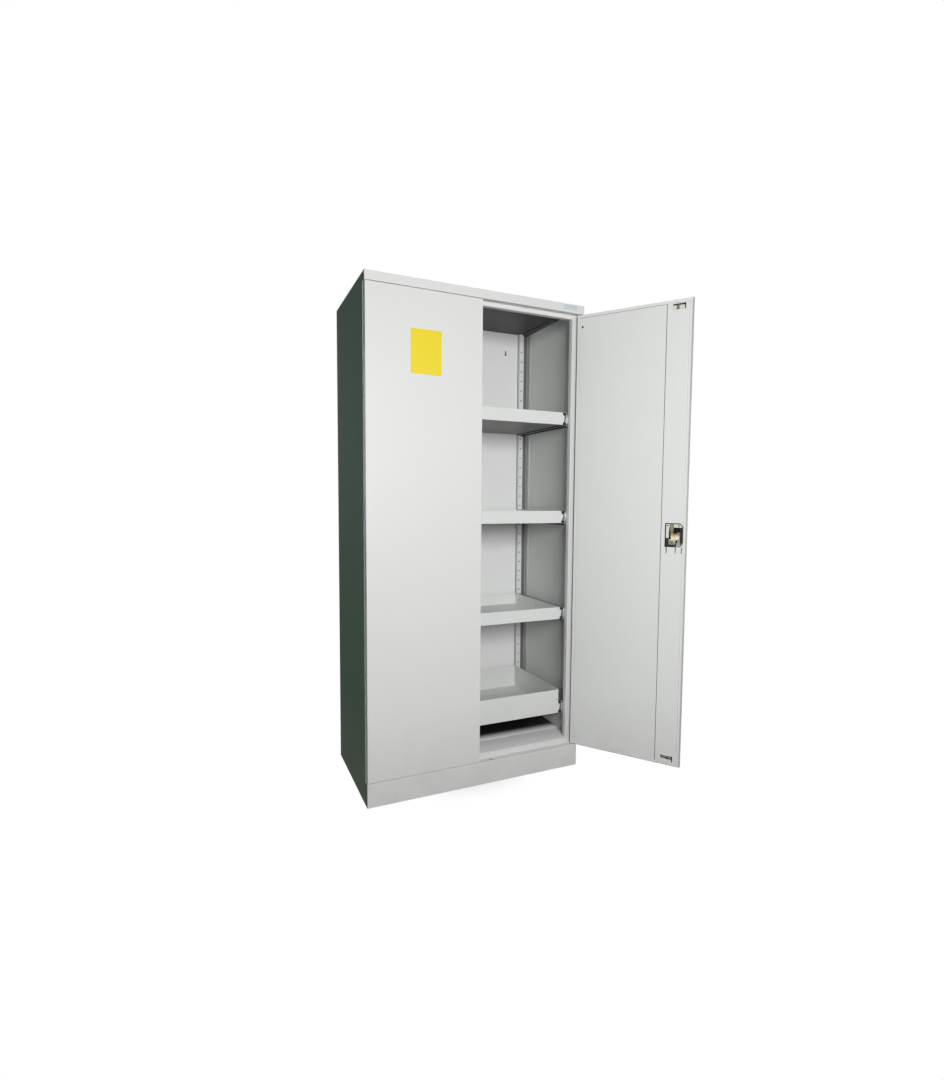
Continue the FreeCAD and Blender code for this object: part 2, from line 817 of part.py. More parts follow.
def lock_pinion():
    """Pinion with its hub in the case, the cam plate in front of it and the spindle of the handle."""
    y0 = front + pinion_start
    y1 = y0 + pinion_face
    points = [(lock_axis_x + u, lock_axis_height + v) for u, v in pinion_outline()]
    gear = outline(points, [0] * len(points), in_xz(y0)).extrude(V(0, pinion_face, 0))
    axis = V(0, 1, 0)
    hub_y = front + hub_start
    hub = cylinder(hub_radius, V(lock_axis_x, hub_y, lock_axis_height), axis, y0 - hub_y)
    w = cam_width / 2
    h = cam_height / 2
    corners = [(lock_axis_x - w, lock_axis_height - h / 2), (lock_axis_x - w, lock_axis_height + h),
               (lock_axis_x + w, lock_axis_height + h), (lock_axis_x + w, lock_axis_height - h),
               (lock_axis_x - w / 2, lock_axis_height - h)]
    cam = outline(corners, [r / 2 for r in cam_rounds], in_xz(y1))
    cam = cam.extrude(V(0, cam_thickness, 0))
    q = spindle_size / 2
    spindle = box(lock_axis_x - q, lock_axis_x + q, front - spindle_end, hub_y,
                  lock_axis_height - q, lock_axis_height + q)
    return gear.fuse([hub, cam, spindle]).removeSplitter()


def rack_side(x, sign, first, count):
    """Points up the toothed side of a rack. The pitch line is at x, sign is the way the teeth point."""
    half_tooth = (tooth_pitch - tooth_backlash) / 4
    at_root = half_tooth + tooth_dedendum * math.tan(pressure_angle)
    at_tip = half_tooth - tooth_addendum * math.tan(pressure_angle)
    root = x - sign * tooth_dedendum
    tip = x + sign * tooth_addendum
    points = []
    for k in range(count):
        z = first + k * tooth_pitch
        points += [(root, z - at_root), (tip, z - at_tip), (tip, z + at_tip), (root, z + at_root)]
    return points


def upper_rod():
    """Upper bolt: rack beside the pinion, flat bar up to the top edge of the leaf."""
    lowest = lock_axis_height - upper_rack_below * tooth_pitch
    teeth = rack_side(lock_axis_x + pitch_radius, -1, lowest, rack_teeth)
    x0 = lock_axis_x + rack_root
    x1 = x0 + rod_width
    bottom = teeth[0][1] - rack_tail
    top = leaf_top - rod_end_clearance
    points = [(x0, bottom)] + teeth + [(x0, top), (x1, top), (x1, bottom)]
    return bar(points).fuse(rod_head(upper_rod_x, 1)).removeSplitter()


def lower_rod():
    """Lower bolt: rack on the other side of the pinion, cranked bar down to the bottom edge."""
    lowest = lock_axis_height - lower_rack_below * tooth_pitch
    teeth = rack_side(lock_axis_x - pitch_radius, 1, lowest, rack_teeth)
    x1 = lock_axis_x - rack_root
    x0 = x1 - rod_width
    top = teeth[-1][1] + rack_tail
    bottom = leaf_bottom + rod_end_clearance
    crank_top = lock_axis_height - rod_crank_below_axis
    crank_bottom = crank_top - rod_crank_run
    c = rod_crank
    points = [(x1 + c, bottom), (x1 + c, crank_bottom), (x1, crank_top)] + teeth
    points += [(x1, top), (x0, top), (x0, crank_top), (x0 + c, crank_bottom), (x0 + c, bottom)]
    return bar(points).fuse(rod_head(lower_rack_x, -1)).removeSplitter()


def rod_head(x, way):
    """Block on a bolt, above (way 1) or below (way -1) the pinion."""
    near = lock_axis_height + way * rod_head_from_axis
    far = near + way * rod_head_length
    w = rod_head_width / 2
    return box(x - w, x + w, rod_end_y, front + rod_head_depth, min(near, far), max(near, far))


def bar(points):
    """Flat bar of the bolt thickness with a given outline."""
    face = outline(points, [0] * len(points), in_xz(rod_start_y))
    return face.extrude(V(0, rod_thickness, 0))


def rod_guides():
    """Moulded blocks behind the two slots of the channel, each with a way for its bolt."""
    top = leaf_top - guide_slot_from_end - upper_guide_drop
    low_top = leaf_bottom + guide_slot_from_end + guide_slot_height - lower_guide_drop
    s0 = guide_slot_start - guide_lap
    s1 = guide_slot_start + guide_slot_width - guide_end_gap
    w = rod_width / 2 + rod_play
    blocks = []
    for x, z1, notch in ((upper_rod_x, top, guide_height), (lower_rod_x, low_top, lower_guide_notch)):
        z0 = z1 - guide_height
        block = leaf_box(s0, s1, leaf_sheet, web_back - guide_web_gap, z0, z1)
        way = box(x - w, x + w, rod_start_y - rod_play, rod_end_y + rod_play, z0, z1)
        open_way = box(x - w, x + w, rod_end_y, front + web_back, z1 - notch, z1)
        blocks.append(block.cut([way, open_way]))
    return group(blocks)


# Handle

def handle_escutcheon():
    """Rounded plate on the outer face, bored for the handle and the key barrel."""
    w = escutcheon_width / 2
    h = escutcheon_height / 2
    middle = (lock_axis_height + barrel_height) / 2
    corners = [(lock_axis_x - w, middle - h), (lock_axis_x + w, middle - h),
               (lock_axis_x + w, middle + h), (lock_axis_x - w, middle + h)]
    plate = outline(corners, [escutcheon_round] * 4, in_xz(front - escutcheon_thickness))
    return plate.extrude(V(0, escutcheon_thickness, 0)).cut(outer_bores(leaf_sheet))


def door_handle():
    """Bar grip on a round collar, with the journal and the square socket for the spindle."""
    axis = V(0, -1, 0)
    y0 = front - escutcheon_thickness - thrust_gap
    y1 = y0 - collar_length
    journal_y = front + journal_end
    journal = cylinder(journal_radius, V(lock_axis_x, journal_y, lock_axis_height), axis,
                       journal_y - y0)
    collar = cylinder(collar_radius, V(lock_axis_x, y0, lock_axis_height), axis, collar_length)
    x0 = lock_axis_x - grip_half_length
    x1 = lock_axis_x + grip_half_length
    z0 = lock_axis_height - grip_half_height
    z1 = lock_axis_height + grip_half_height
    grip = outline([(x0, z0), (x1, z0), (x1, z1), (x0, z1)], [grip_round] * 4,
                   in_xz(y1 - grip_thickness)).extrude(V(0, grip_thickness, 0))
    rim = [e for e in grip.Edges if e.BoundBox.YMax < y1 - grip_thickness / 2]
    grip = grip.makeChamfer(grip_chamfer, rim)
    handle = journal.fuse([collar, grip]).removeSplitter()
    q = spindle_size / 2 + spindle_fit
    socket = box(lock_axis_x - q, lock_axis_x + q, front - spindle_end - spindle_fit,
                 journal_y + over, lock_axis_height - q, lock_axis_height + q)
    return handle.cut(socket)


def key_barrel():
    """Round key barrel with a plain slot, below the handle."""
    y0 = front - escutcheon_thickness - barrel_proud
    start = V(lock_axis_x, y0, barrel_height)
    barrel = cylinder(barrel_radius, start, V(0, 1, 0), front + barrel_inner_end - y0)
    w = key_slot_width / 2
    h = key_slot_length / 2
    return barrel.cut(box(lock_axis_x - w, lock_axis_x + w, y0 - over, y0 + key_slot_depth,
                          barrel_height - h, barrel_height + h))


# Pieces by node name
nodes = {
    "right_side_panel": side_panel(),
    "left_side_panel": mirrored(side_panel()),
    "top_panel": top_panel(),
    "back_panel": back_panel(),
    "floor_panel": floor_panel(),
    "front_plinth": front_plinth(),
    "base_rails": base_rails(),
    "right_jamb": jamb(),
    "left_jamb": mirrored(jamb()),
    "right_rear_post": rear_post(),
    "left_rear_post": mirrored(rear_post()),
    "central_partition": central_partition(),
    "shelf_cleats": shelf_cleats(),
    "slide_brackets": slide_brackets(),
    "magnet_catches": magnet_catches(),
    "hinge_pins": hinge_pins(),
    "left_door_skin": mirrored(leaf_skin(False)),
    "left_door_liner": mirrored(leaf_liner(leaf_width - leaf_return - liner_gap, True)),
    "left_hinge_bushes": mirrored(hinge_bushes()),
    "right_door_skin": opened(leaf_skin(True)),
    "right_door_liner": opened(leaf_liner(channel_start - liner_gap, False)),
    "right_hinge_bushes": opened(hinge_bushes()),
    "lock_channel": opened(lock_channel()),
    "lock_case": opened(lock_case()),
    "lock_pinion": opened(lock_pinion()),
    "upper_lock_rod": opened(upper_rod()),
    "lower_lock_rod": opened(lower_rod()),
    "rod_guides": opened(rod_guides()),
    "handle_escutcheon": opened(handle_escutcheon()),
    "door_handle": opened(door_handle()),
    "key_barrel": opened(key_barrel()),
}
for k, level in enumerate(levels, 1):
    nodes[f"tray_{k}"] = pull_out_tray(level)
    nodes[f"slide_outer_{k}"] = outer_member(level)
    nodes[f"slide_middle_{k}"] = middle_member(level)
    nodes[f"slide_inner_{k}"] = inner_member(level)
    nodes[f"cage_outer_{k}"] = outer_cage(level)
    nodes[f"cage_inner_{k}"] = inner_cage(level)
for k, level in enumerate(levels[1:], 1):
    nodes[f"left_shelf_{k}"] = fixed_tray(level)

os.makedirs("parts", exist_ok=True)
for name, shape in nodes.items():
    shape.exportStep(f"parts/{name}.step")
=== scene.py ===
import bpy
import bmesh
import json
import math
from mathutils import Matrix, Vector


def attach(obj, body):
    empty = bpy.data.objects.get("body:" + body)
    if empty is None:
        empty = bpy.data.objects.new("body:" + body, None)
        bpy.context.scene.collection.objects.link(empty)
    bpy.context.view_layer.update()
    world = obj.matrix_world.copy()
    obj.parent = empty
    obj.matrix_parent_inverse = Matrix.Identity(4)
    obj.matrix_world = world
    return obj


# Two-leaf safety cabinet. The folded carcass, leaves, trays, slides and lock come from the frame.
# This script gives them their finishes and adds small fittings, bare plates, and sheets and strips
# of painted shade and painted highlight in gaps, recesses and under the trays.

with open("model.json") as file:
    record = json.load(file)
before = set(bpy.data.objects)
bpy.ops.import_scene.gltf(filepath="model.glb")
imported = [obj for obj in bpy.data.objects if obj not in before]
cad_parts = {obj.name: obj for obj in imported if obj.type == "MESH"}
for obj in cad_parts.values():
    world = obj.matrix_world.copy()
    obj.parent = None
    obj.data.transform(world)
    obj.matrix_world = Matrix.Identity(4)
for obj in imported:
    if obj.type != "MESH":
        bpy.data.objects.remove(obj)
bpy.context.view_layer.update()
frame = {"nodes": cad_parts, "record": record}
nodes = frame["nodes"]

# Sizes in metres, in the frame of the cabinet. In the right leaf, s runs from its hinge edge to its
# free edge and d from its outer face inwards.
HALF = 0.460
FRONT = -0.250
LEAF_EDGE = 0.4585
LEAF_WIDTH = 0.457
LEAF_BOTTOM = 0.094
LEAF_TOP = 1.914
PIVOT = Vector((0.4495, -0.237, 0.0))
OPEN_ANGLE = math.radians(125.5)
LOWEST_TRAY = 0.219
TRAY_PITCH = 0.4167
LEVELS = [LOWEST_TRAY + TRAY_PITCH * k for k in range(4)]
LEAF_DEPTH = 0.020
LEAF_SHEET = 0.001
LOCK_S = 0.414
LOCK_Z = 1.010
BARREL_Z = 0.950
WINDOW_S = (0.376, 0.445)
WINDOW_Z = (0.969, 1.063)
CASE_INSET = 0.004
COVER_DEPTH = 0.017
SLIDE_MIDDLE = 0.025
SLIDE_LENGTH = 0.400
FITTING_PLANE = 0.424
PARTITION_FACE = 0.003
SLIDE_FRONT = FRONT + 0.062
TRAY_LEFT = 0.022
TRAY_RIGHT = 0.405
TRAY_SHEET = 0.0012
BACK_OUTER = 0.2304
BACK_INNER = 0.2292
FLOOR_TOP = 0.116
STOP_PLANE = -0.2200
JAMB_INNER = 0.4228
CEILING = 1.9488
WALL = 0.4588
POST_X = (0.411, 0.432)
POST_FRONT = 0.2120
POST_SHEET = 0.0015
KEYHOLE_X = 0.3435
EDGE_FACE = 0.0006
FREE_RETURN = 0.0036
LOW_RETURN = 0.0024
SIDE_SKIN = 0.0004
SHADE_BAND_OFFSET = 0.0003
COVER_SHEET = 0.0014
BEHIND_SILL = STOP_PLANE + 0.003
# Where the painted shadow under the lowest tray begins, and where it is fully black
SHADOW_START = -0.110
SHADOW_FULL = -0.045


def tone(r, g, b):
    """A colour written as it looks on screen, 0 to 255, as linear values."""
    out = []
    for v in (r, g, b):
        v = v / 255
        out.append(v / 12.92 if v <= 0.04045 else ((v + 0.055) / 1.055) ** 2.4)
    return (*out, 1.0)


LIGHT_GREY = tone(224, 225, 223)
INNER_GREY = tone(222, 224, 222)
DARK_GREEN = tone(89, 109, 94)
# Painted shade: the hinge edges of the leaves, darkened to the green of the sides
HINGE_EDGE_PAINTED_SHADE = tone(68, 83, 72)
SCRATCH_PALE = tone(176, 178, 174)
SCRATCH_GREEN = tone(150, 168, 154)
# Painted shade on the free edge of the right leaf
FREE_EDGE_PAINTED_SHADE = tone(171, 177, 172)
# Painted shade on the bottom return of the right leaf
LOW_EDGE_PAINTED_SHADE = tone(132, 134, 132)
# Painted light: the back sheet is paler than the rest of the inside
BACK_PAINTED_LIGHT = tone(234, 235, 234)
SILL_GREY = tone(214, 215, 213)
# Painted light: the floor behind the sill is paler than the sill and the rest of the inside
FLOOR_PAINTED_LIGHT = tone(250, 251, 250)
# Painted shade on the undersides of the trays
TRAY_UNDERSIDE_PAINTED_SHADE = tone(110, 111, 109)
# Painted shade on the underside of the ceiling
CEILING_PAINTED_SHADE = tone(66, 67, 65)
BARE_YELLOW = tone(238, 216, 48)
# Painted shade inside the lock case
LOCK_CASE_PAINTED_SHADE = tone(18, 19, 18)
COVER_PALE = tone(216, 217, 209)

PAINT_PEEL = 0.12
MOULD_TEXTURE = 700.0


# Shader groups

def shader_group(name, inputs, outputs):
    """An empty node group with named sockets. An input is (name, kind, default)."""
    group = bpy.data.node_groups.new(name, "ShaderNodeTree")
    kinds = {"v": "NodeSocketVector", "f": "NodeSocketFloat", "c": "NodeSocketColor"}
    for label, kind, value in inputs:
        socket = group.interface.new_socket(label, in_out="INPUT", socket_type=kinds[kind])
        if value is not None:
            socket.default_value = value
    for label, kind in outputs:
        group.interface.new_socket(label, in_out="OUTPUT", socket_type=kinds[kind])
    start = group.nodes.new("NodeGroupInput")
    end = group.nodes.new("NodeGroupOutput")
    return group, start, end


def add_node(tree, kind, values=None, links=None, **settings):
    """A node with its settings, its plain input values and its incoming links."""
    node = tree.nodes.new(kind)
    for key, value in settings.items():
        setattr(node, key, value)
    for key, value in (values or {}).items():
        node.inputs[key].default_value = value
    for key, source in (links or {}).items():
        tree.links.new(source, node.inputs[key])
    return node


def maths(tree, operation, a, b=None, clamp=False):
    """One Math node. Each side is a number or a socket."""
    node = tree.nodes.new("ShaderNodeMath")
    node.operation = operation
    node.use_clamp = clamp
    for index, side in enumerate((a, b)):
        if side is None:
            continue
        if isinstance(side, (int, float)):
            node.inputs[index].default_value = side
        else:
            tree.links.new(side, node.inputs[index])
    return node.outputs[0]


def noise(tree, vector, scale, detail=2.0, rough=0.5):
    """Noise from 0 to 1. The scale is a number or a socket."""
    node = add_node(tree, "ShaderNodeTexNoise", {"Detail": detail, "Roughness": rough})
    tree.links.new(vector, node.inputs["Vector"])
    if isinstance(scale, (int, float)):
        node.inputs["Scale"].default_value = scale
    else:
        tree.links.new(scale, node.inputs["Scale"])
    return node.outputs["Fac"]


def mix_colour(tree, factor, a, b):
    """Colour a at factor 0 and b at factor 1. Each of them is a value or a socket."""
    node = tree.nodes.new("ShaderNodeMix")
    node.data_type = "RGBA"
    for key, side in ((0, factor), (6, a), (7, b)):
        if isinstance(side, (int, float, tuple)):
            node.inputs[key].default_value = side
        else:
            tree.links.new(side, node.inputs[key])
    return node.outputs[2]


def make_powder_coat():
    """Sprayed and baked paint: slow shade drift, orange peel and small changes of gloss."""
    group, start, end = shader_group(
        "powder coat",
        [("Vector", "v", None), ("Paint", "c", LIGHT_GREY), ("Drift", "f", 0.03),
         ("Gloss spread", "f", 0.08), ("Roughness", "f", 0.36), ("Peel scale", "f", 420.0)],
        [("Color", "c"), ("Roughness", "f"), ("Height", "f")])
    vector = start.outputs["Vector"]
    slow = maths(group, "SUBTRACT", noise(group, vector, 2.6, 3.0), 0.5)
    drift = maths(group, "MULTIPLY", slow, start.outputs["Drift"])
    value = maths(group, "ADD", 1.0, drift)
    shade = add_node(group, "ShaderNodeHueSaturation",
                     links={"Value": value, "Color": start.outputs["Paint"]})
    group.links.new(shade.outputs[0], end.inputs["Color"])
    smear = maths(group, "SUBTRACT", noise(group, vector, 9.0, 4.0, 0.6), 0.5)
    spread = maths(group, "MULTIPLY", smear, start.outputs["Gloss spread"])
    group.links.new(maths(group, "ADD", start.outputs["Roughness"], spread),
                    end.inputs["Roughness"])
    group.links.new(noise(group, vector, start.outputs["Peel scale"], 1.0), end.inputs["Height"])
    return group


def make_floor_dust():
    """Dust and scuffs that gather towards the floor, as a colour over the paint."""
    group, start, end = shader_group(
        "floor dust",
        [("Vector", "v", None), ("Color", "c", LIGHT_GREY), ("Dust", "c", tone(150, 146, 138)),
         ("Reach", "f", 0.35), ("Amount", "f", 0.25)],
        [("Color", "c"), ("Mask", "f")])
    vector = start.outputs["Vector"]
    height = add_node(group, "ShaderNodeSeparateXYZ", links={0: vector}).outputs["Z"]
    share = maths(group, "DIVIDE", height, start.outputs["Reach"])
    low = maths(group, "SUBTRACT", 1.0, share, True)
    patchy = maths(group, "MULTIPLY", noise(group, vector, 14.0, 5.0, 0.65), 1.6, True)
    mask = maths(group, "MULTIPLY", maths(group, "MULTIPLY", low, patchy), start.outputs["Amount"])
    group.links.new(mask, end.inputs["Mask"])
    group.links.new(mix_colour(group, mask, start.outputs["Color"], start.outputs["Dust"]),
                    end.inputs["Color"])
    return group


def make_scuffs():
    """Short slanting scratches that gather in patches, as a mask."""
    group, start, end = shader_group("scuffs", [("Vector", "v", None), ("Amount", "f", 0.2)],
                                     [("Mask", "f")])
    vector = start.outputs["Vector"]
    turned = add_node(group, "ShaderNodeMapping",
                      {"Rotation": (0.25, 0.30, 0.15), "Scale": (260.0, 260.0, 22.0)},
                      {"Vector": vector})
    lines = maths(group, "SUBTRACT", noise(group, turned.outputs[0], 1.0, 1.0), 0.70)
    sharp = maths(group, "MULTIPLY", lines, 14.0, True)
    patches = maths(group, "SUBTRACT", noise(group, vector, 4.5, 2.0), 0.55)
    worn = maths(group, "MULTIPLY", patches, 9.0, True)
    mask = maths(group, "MULTIPLY", maths(group, "MULTIPLY", sharp, worn), start.outputs["Amount"])
    group.links.new(mask, end.inputs["Mask"])
    return group


def make_edge_band():
    """A mask for the narrow band of faces beyond a plane through a point."""
    group, start, end = shader_group(
        "edge band", [("Vector", "v", None), ("Point", "v", None), ("Direction", "v", None)],
        [("Mask", "f")])
    away = add_node(group, "ShaderNodeVectorMath",
                    links={0: start.outputs["Vector"], 1: start.outputs["Point"]},
                    operation="SUBTRACT")
    along = add_node(group, "ShaderNodeVectorMath",
                     links={0: away.outputs[0], 1: start.outputs["Direction"]},
                     operation="DOT_PRODUCT")
    group.links.new(maths(group, "LESS_THAN", along.outputs["Value"], 0.0), end.inputs["Mask"])
    return group


def make_plated_grain():
    """Plated or drawn metal: streaks along one way, small bright cells and blotches."""
    group, start, end = shader_group(
        "plated grain",
        [("Vector", "v", None), ("Metal", "c", tone(190, 192, 195)), ("Stretch", "v", (1, 30, 30)),
         ("Streak", "f", 0.12), ("Cells", "f", 0.08), ("Roughness", "f", 0.32)],
        [("Color", "c"), ("Roughness", "f"), ("Height", "f")])
    vector = start.outputs["Vector"]
    stretched = add_node(group, "ShaderNodeVectorMath",
                         links={0: vector, 1: start.outputs["Stretch"]}, operation="MULTIPLY")
    lines = maths(group, "SUBTRACT", noise(group, stretched.outputs[0], 40.0, 4.0, 0.7), 0.5)
    cells = add_node(group, "ShaderNodeTexVoronoi", {"Scale": 160.0}, {"Vector": vector})
    cell = add_node(group, "ShaderNodeSeparateColor", links={0: cells.outputs["Color"]}).outputs[0]
    bright = maths(group, "MULTIPLY", maths(group, "SUBTRACT", cell, 0.5), start.outputs["Cells"])
    streak = maths(group, "MULTIPLY", lines, start.outputs["Streak"])
    shade = maths(group, "ADD", 1.0, maths(group, "ADD", bright, streak))
    colour = add_node(group, "ShaderNodeHueSaturation",
                      links={"Value": shade, "Color": start.outputs["Metal"]})
    group.links.new(colour.outputs[0], end.inputs["Color"])
    rough = maths(group, "ADD", start.outputs["Roughness"], maths(group, "MULTIPLY", streak, 0.8))
    group.links.new(rough, end.inputs["Roughness"])
    group.links.new(lines, end.inputs["Height"])
    return group


POWDER_COAT = make_powder_coat()
FLOOR_DUST = make_floor_dust()
SCUFFS = make_scuffs()
EDGE_BAND = make_edge_band()
PLATED_GRAIN = make_plated_grain()


def blank_material(name):
    """A material, its tree, its Principled BSDF and the object coordinates."""
    material = bpy.data.materials.new(name)
    material.use_nodes = True
    tree = material.node_tree
    surface = tree.nodes["Principled BSDF"]
    place = tree.nodes.new("ShaderNodeTexCoord").outputs["Object"]
    return material, tree, surface, place


def use_group(tree, group, values=None, links=None):
    """A shader group in a tree, with its plain input values and its incoming links."""
    node = tree.nodes.new("ShaderNodeGroup")
    node.node_tree = group
    for key, value in (values or {}).items():
        node.inputs[key].default_value = value
    for key, source in (links or {}).items():
        tree.links.new(source, node.inputs[key])
    return node


def relief(tree, surface, height, strength, distance):
    """Feeds a height to the surface as bump."""
    bump = add_node(tree, "ShaderNodeBump", {"Strength": strength, "Distance": distance},
                    {"Height": height})
    tree.links.new(bump.outputs[0], surface.inputs["Normal"])


def painted(name, paint, roughness=0.46, drift=0.03, dust=0.25, bands=(), gloss=0.36, scuffs=0.12,
            scratch=SCRATCH_PALE):
    """Powder-coated sheet. A band is (paint, planes), and has its paint behind all its planes."""
    material, tree, surface, place = blank_material(name)
    colour = paint
    for band_paint, planes in bands:
        mask = None
        for point, direction in planes:
            cut = use_group(tree, EDGE_BAND, {"Point": point, "Direction": direction},
                            {"Vector": place}).outputs["Mask"]
            mask = maths(tree, "MULTIPLY", mask, cut) if mask else cut
        colour = mix_colour(tree, mask, colour, band_paint)
    coat = use_group(tree, POWDER_COAT, {"Drift": drift, "Roughness": roughness},
                     {"Vector": place})
    if isinstance(colour, tuple):
        coat.inputs["Paint"].default_value = colour
    else:
        tree.links.new(colour, coat.inputs["Paint"])
    low = use_group(tree, FLOOR_DUST, {"Amount": dust},
                    {"Vector": place, "Color": coat.outputs["Color"]})
    worn = use_group(tree, SCUFFS, {"Amount": scuffs}, {"Vector": place}).outputs["Mask"]
    tree.links.new(mix_colour(tree, worn, low.outputs["Color"], scratch),
                   surface.inputs["Base Color"])
    tree.links.new(coat.outputs["Roughness"], surface.inputs["Roughness"])
    surface.inputs["Specular IOR Level"].default_value = gloss
    relief(tree, surface, coat.outputs["Height"], PAINT_PEEL, 0.0004)
    return material


def plated(name, metal, roughness, streak=0.12, cells=0.08, stretch=(30, 1, 30), metallic=1.0,
           top_metal=None):
    """Plated metal. top_metal is (metal, z0, z1): it turns to that metal between the two heights,
    going up.
    """
    material, tree, surface, place = blank_material(name)
    grain = use_group(tree, PLATED_GRAIN,
                      {"Metal": metal, "Roughness": roughness, "Streak": streak, "Cells": cells,
                       "Stretch": stretch}, {"Vector": place})
    if top_metal:
        height = add_node(tree, "ShaderNodeSeparateXYZ", links={0: place}).outputs["Z"]
        share = add_node(tree, "ShaderNodeMapRange", {"From Min": top_metal[1], "From Max": top_metal[2]},
                         {"Value": height}).outputs[0]
        tree.links.new(mix_colour(tree, share, metal, top_metal[0]), grain.inputs["Metal"])
    tree.links.new(grain.outputs["Color"], surface.inputs["Base Color"])
    tree.links.new(grain.outputs["Roughness"], surface.inputs["Roughness"])
    surface.inputs["Metallic"].default_value = metallic
    relief(tree, surface, grain.outputs["Height"], 0.15, 0.0002)
    return material


def moulded(name, colour, roughness=0.5, faded=None):
    """Plastic or rubber, finely eroded. faded is (colour, y0, y1): it starts in that colour."""
    material, tree, surface, place = blank_material(name)
    coat = use_group(tree, POWDER_COAT,
                     {"Paint": colour, "Drift": 0.1, "Roughness": roughness,
                      "Peel scale": MOULD_TEXTURE}, {"Vector": place})
    if faded:
        depth = add_node(tree, "ShaderNodeSeparateXYZ", links={0: place}).outputs["Y"]
        share = add_node(tree, "ShaderNodeMapRange", {"From Min": faded[1], "From Max": faded[2]},
                         {"Value": depth}, interpolation_type="SMOOTHSTEP").outputs[0]
        tree.links.new(mix_colour(tree, share, faded[0], colour), coat.inputs["Paint"])
    tree.links.new(coat.outputs["Color"], surface.inputs["Base Color"])
    tree.links.new(coat.outputs["Roughness"], surface.inputs["Roughness"])
    relief(tree, surface, coat.outputs["Height"], 0.3, 0.0003)
    return material


def plane(point, way):
    """A plane through a point. A face is behind it when it lies against that way."""
    return Vector(point), Vector(way)


UP = Vector((0, 0, 1))
OPEN_WAY = Vector((-math.cos(OPEN_ANGLE), -math.sin(OPEN_ANGLE), 0))
# Turns a piece from the shut right leaf to the pose that the leaf is stored in
LEAF = (Matrix.Translation(PIVOT) @ Matrix.Rotation(OPEN_ANGLE, 4, "Z")
        @ Matrix.Translation(-PIVOT))
# The ways that the inner face and the outer face of the stored leaf look
INWARD = LEAF.to_3x3() @ Vector((0, 1, 0))
OUTWARD = LEAF.to_3x3() @ Vector((0, -1, 0))

# Bands of painted shade on the leaf edges: dark green on the hinge edges, grey on the free edge and
# the bottom return of the right leaf
HINGE_EDGE_POINT = LEAF @ Vector((LEAF_EDGE - EDGE_FACE, FRONT, 0))
FREE_EDGE_POINT = LEAF @ Vector((LEAF_EDGE - LEAF_WIDTH + FREE_RETURN, FRONT, 0))
left_edge = (HINGE_EDGE_PAINTED_SHADE, [plane((-LEAF_EDGE + EDGE_FACE, 0, 0), (1, 0, 0))])
right_edge = (HINGE_EDGE_PAINTED_SHADE, [plane(HINGE_EDGE_POINT, OPEN_WAY)])
free_edge = (FREE_EDGE_PAINTED_SHADE, [plane(FREE_EDGE_POINT, -OPEN_WAY)])
low_edge = (LOW_EDGE_PAINTED_SHADE, [plane((0, 0, LEAF_BOTTOM + LOW_RETURN), UP)])
left_skin = (DARK_GREEN, [plane((SIDE_SKIN - HALF, 0, 0), (1, 0, 0))])
right_skin = (DARK_GREEN, [plane((HALF - SIDE_SKIN, 0, 0), (-1, 0, 0))])
behind_sill = plane((0, BEHIND_SILL, 0), (0, -1, 0))
# Painted light on the floor behind the sill
sump = (FLOOR_PAINTED_LIGHT, [behind_sill])
# Painted shade on the underside of the ceiling, behind the front
ceiling_shade = (CEILING_PAINTED_SHADE, [plane((0, 0, CEILING + SHADE_BAND_OFFSET), UP),
                           plane((0, 0, CEILING - SHADE_BAND_OFFSET), -UP), behind_sill])
COVER_BACK = LEAF @ Vector((0, FRONT + COVER_DEPTH - COVER_SHEET, 0))
cover = (COVER_PALE, [plane(COVER_BACK, OUTWARD)])

FRONT_PAINT = painted("light grey powder coat", LIGHT_GREY)
LEFT_LEAF_PAINT = painted("left leaf powder coat", LIGHT_GREY, bands=[left_edge])
RIGHT_LEAF_PAINT = painted("right leaf powder coat", LIGHT_GREY,
                           bands=[right_edge, free_edge, low_edge])
side_look = {"roughness": 0.85, "dust": 0.3, "gloss": 0.02, "scuffs": 0.5,
             "scratch": SCRATCH_GREEN}
LEFT_SIDE_PAINT = painted("left side powder coat", INNER_GREY, bands=[left_skin], **side_look)
RIGHT_SIDE_PAINT = painted("right side powder coat", INNER_GREY, bands=[right_skin], **side_look)
INNER_PAINT = painted("inner grey powder coat", INNER_GREY, roughness=0.4)
# The back sheet is painted paler than the inside: painted light
BACK_PAINT = painted("back sheet powder coat", BACK_PAINTED_LIGHT, roughness=0.4)
FLOOR_PAINT = painted("floor sheet powder coat", SILL_GREY, roughness=0.6, dust=0.02, gloss=0.5,
                      bands=[sump])
TOP_PAINT = painted("top sheet powder coat", LIGHT_GREY, bands=[ceiling_shade])
ZINC = plated("bright zinc", tone(188, 190, 192), 0.3)
OLIVE_ZINC = plated("olive passivated zinc", tone(128, 124, 96), 0.42, stretch=(30, 30, 1))
DARK_ZINC = plated("dull zinc in the lock", tone(142, 146, 144), 0.45, stretch=(30, 30, 1))
# The brass turns darker brown above the lock axis
BRASS = plated("satin brass", tone(214, 200, 174), 0.46, streak=0.1, stretch=(1, 30, 30),
               top_metal=(tone(112, 92, 64), LOCK_Z - 0.004, LOCK_Z + 0.012))
CHROME = plated("polished chrome", tone(215, 216, 218), 0.12, streak=0.03, cells=0.0)
BALL_STEEL = plated("ball steel", tone(205, 206, 208), 0.1, streak=0.02, cells=0.0)
# Black plastic for moulded parts; it also serves as painted shade over the keyholes
BLACK_PLASTIC_AND_PAINTED_SHADE = moulded("black moulded plastic and painted shade", tone(38, 39, 40), 0.48)
# Black rubber for the slide buffers; it also serves as painted shade in the lock and under the
# slides
BLACK_RUBBER_AND_PAINTED_SHADE = moulded("black rubber and painted shade", tone(16, 16, 17), 0.75)
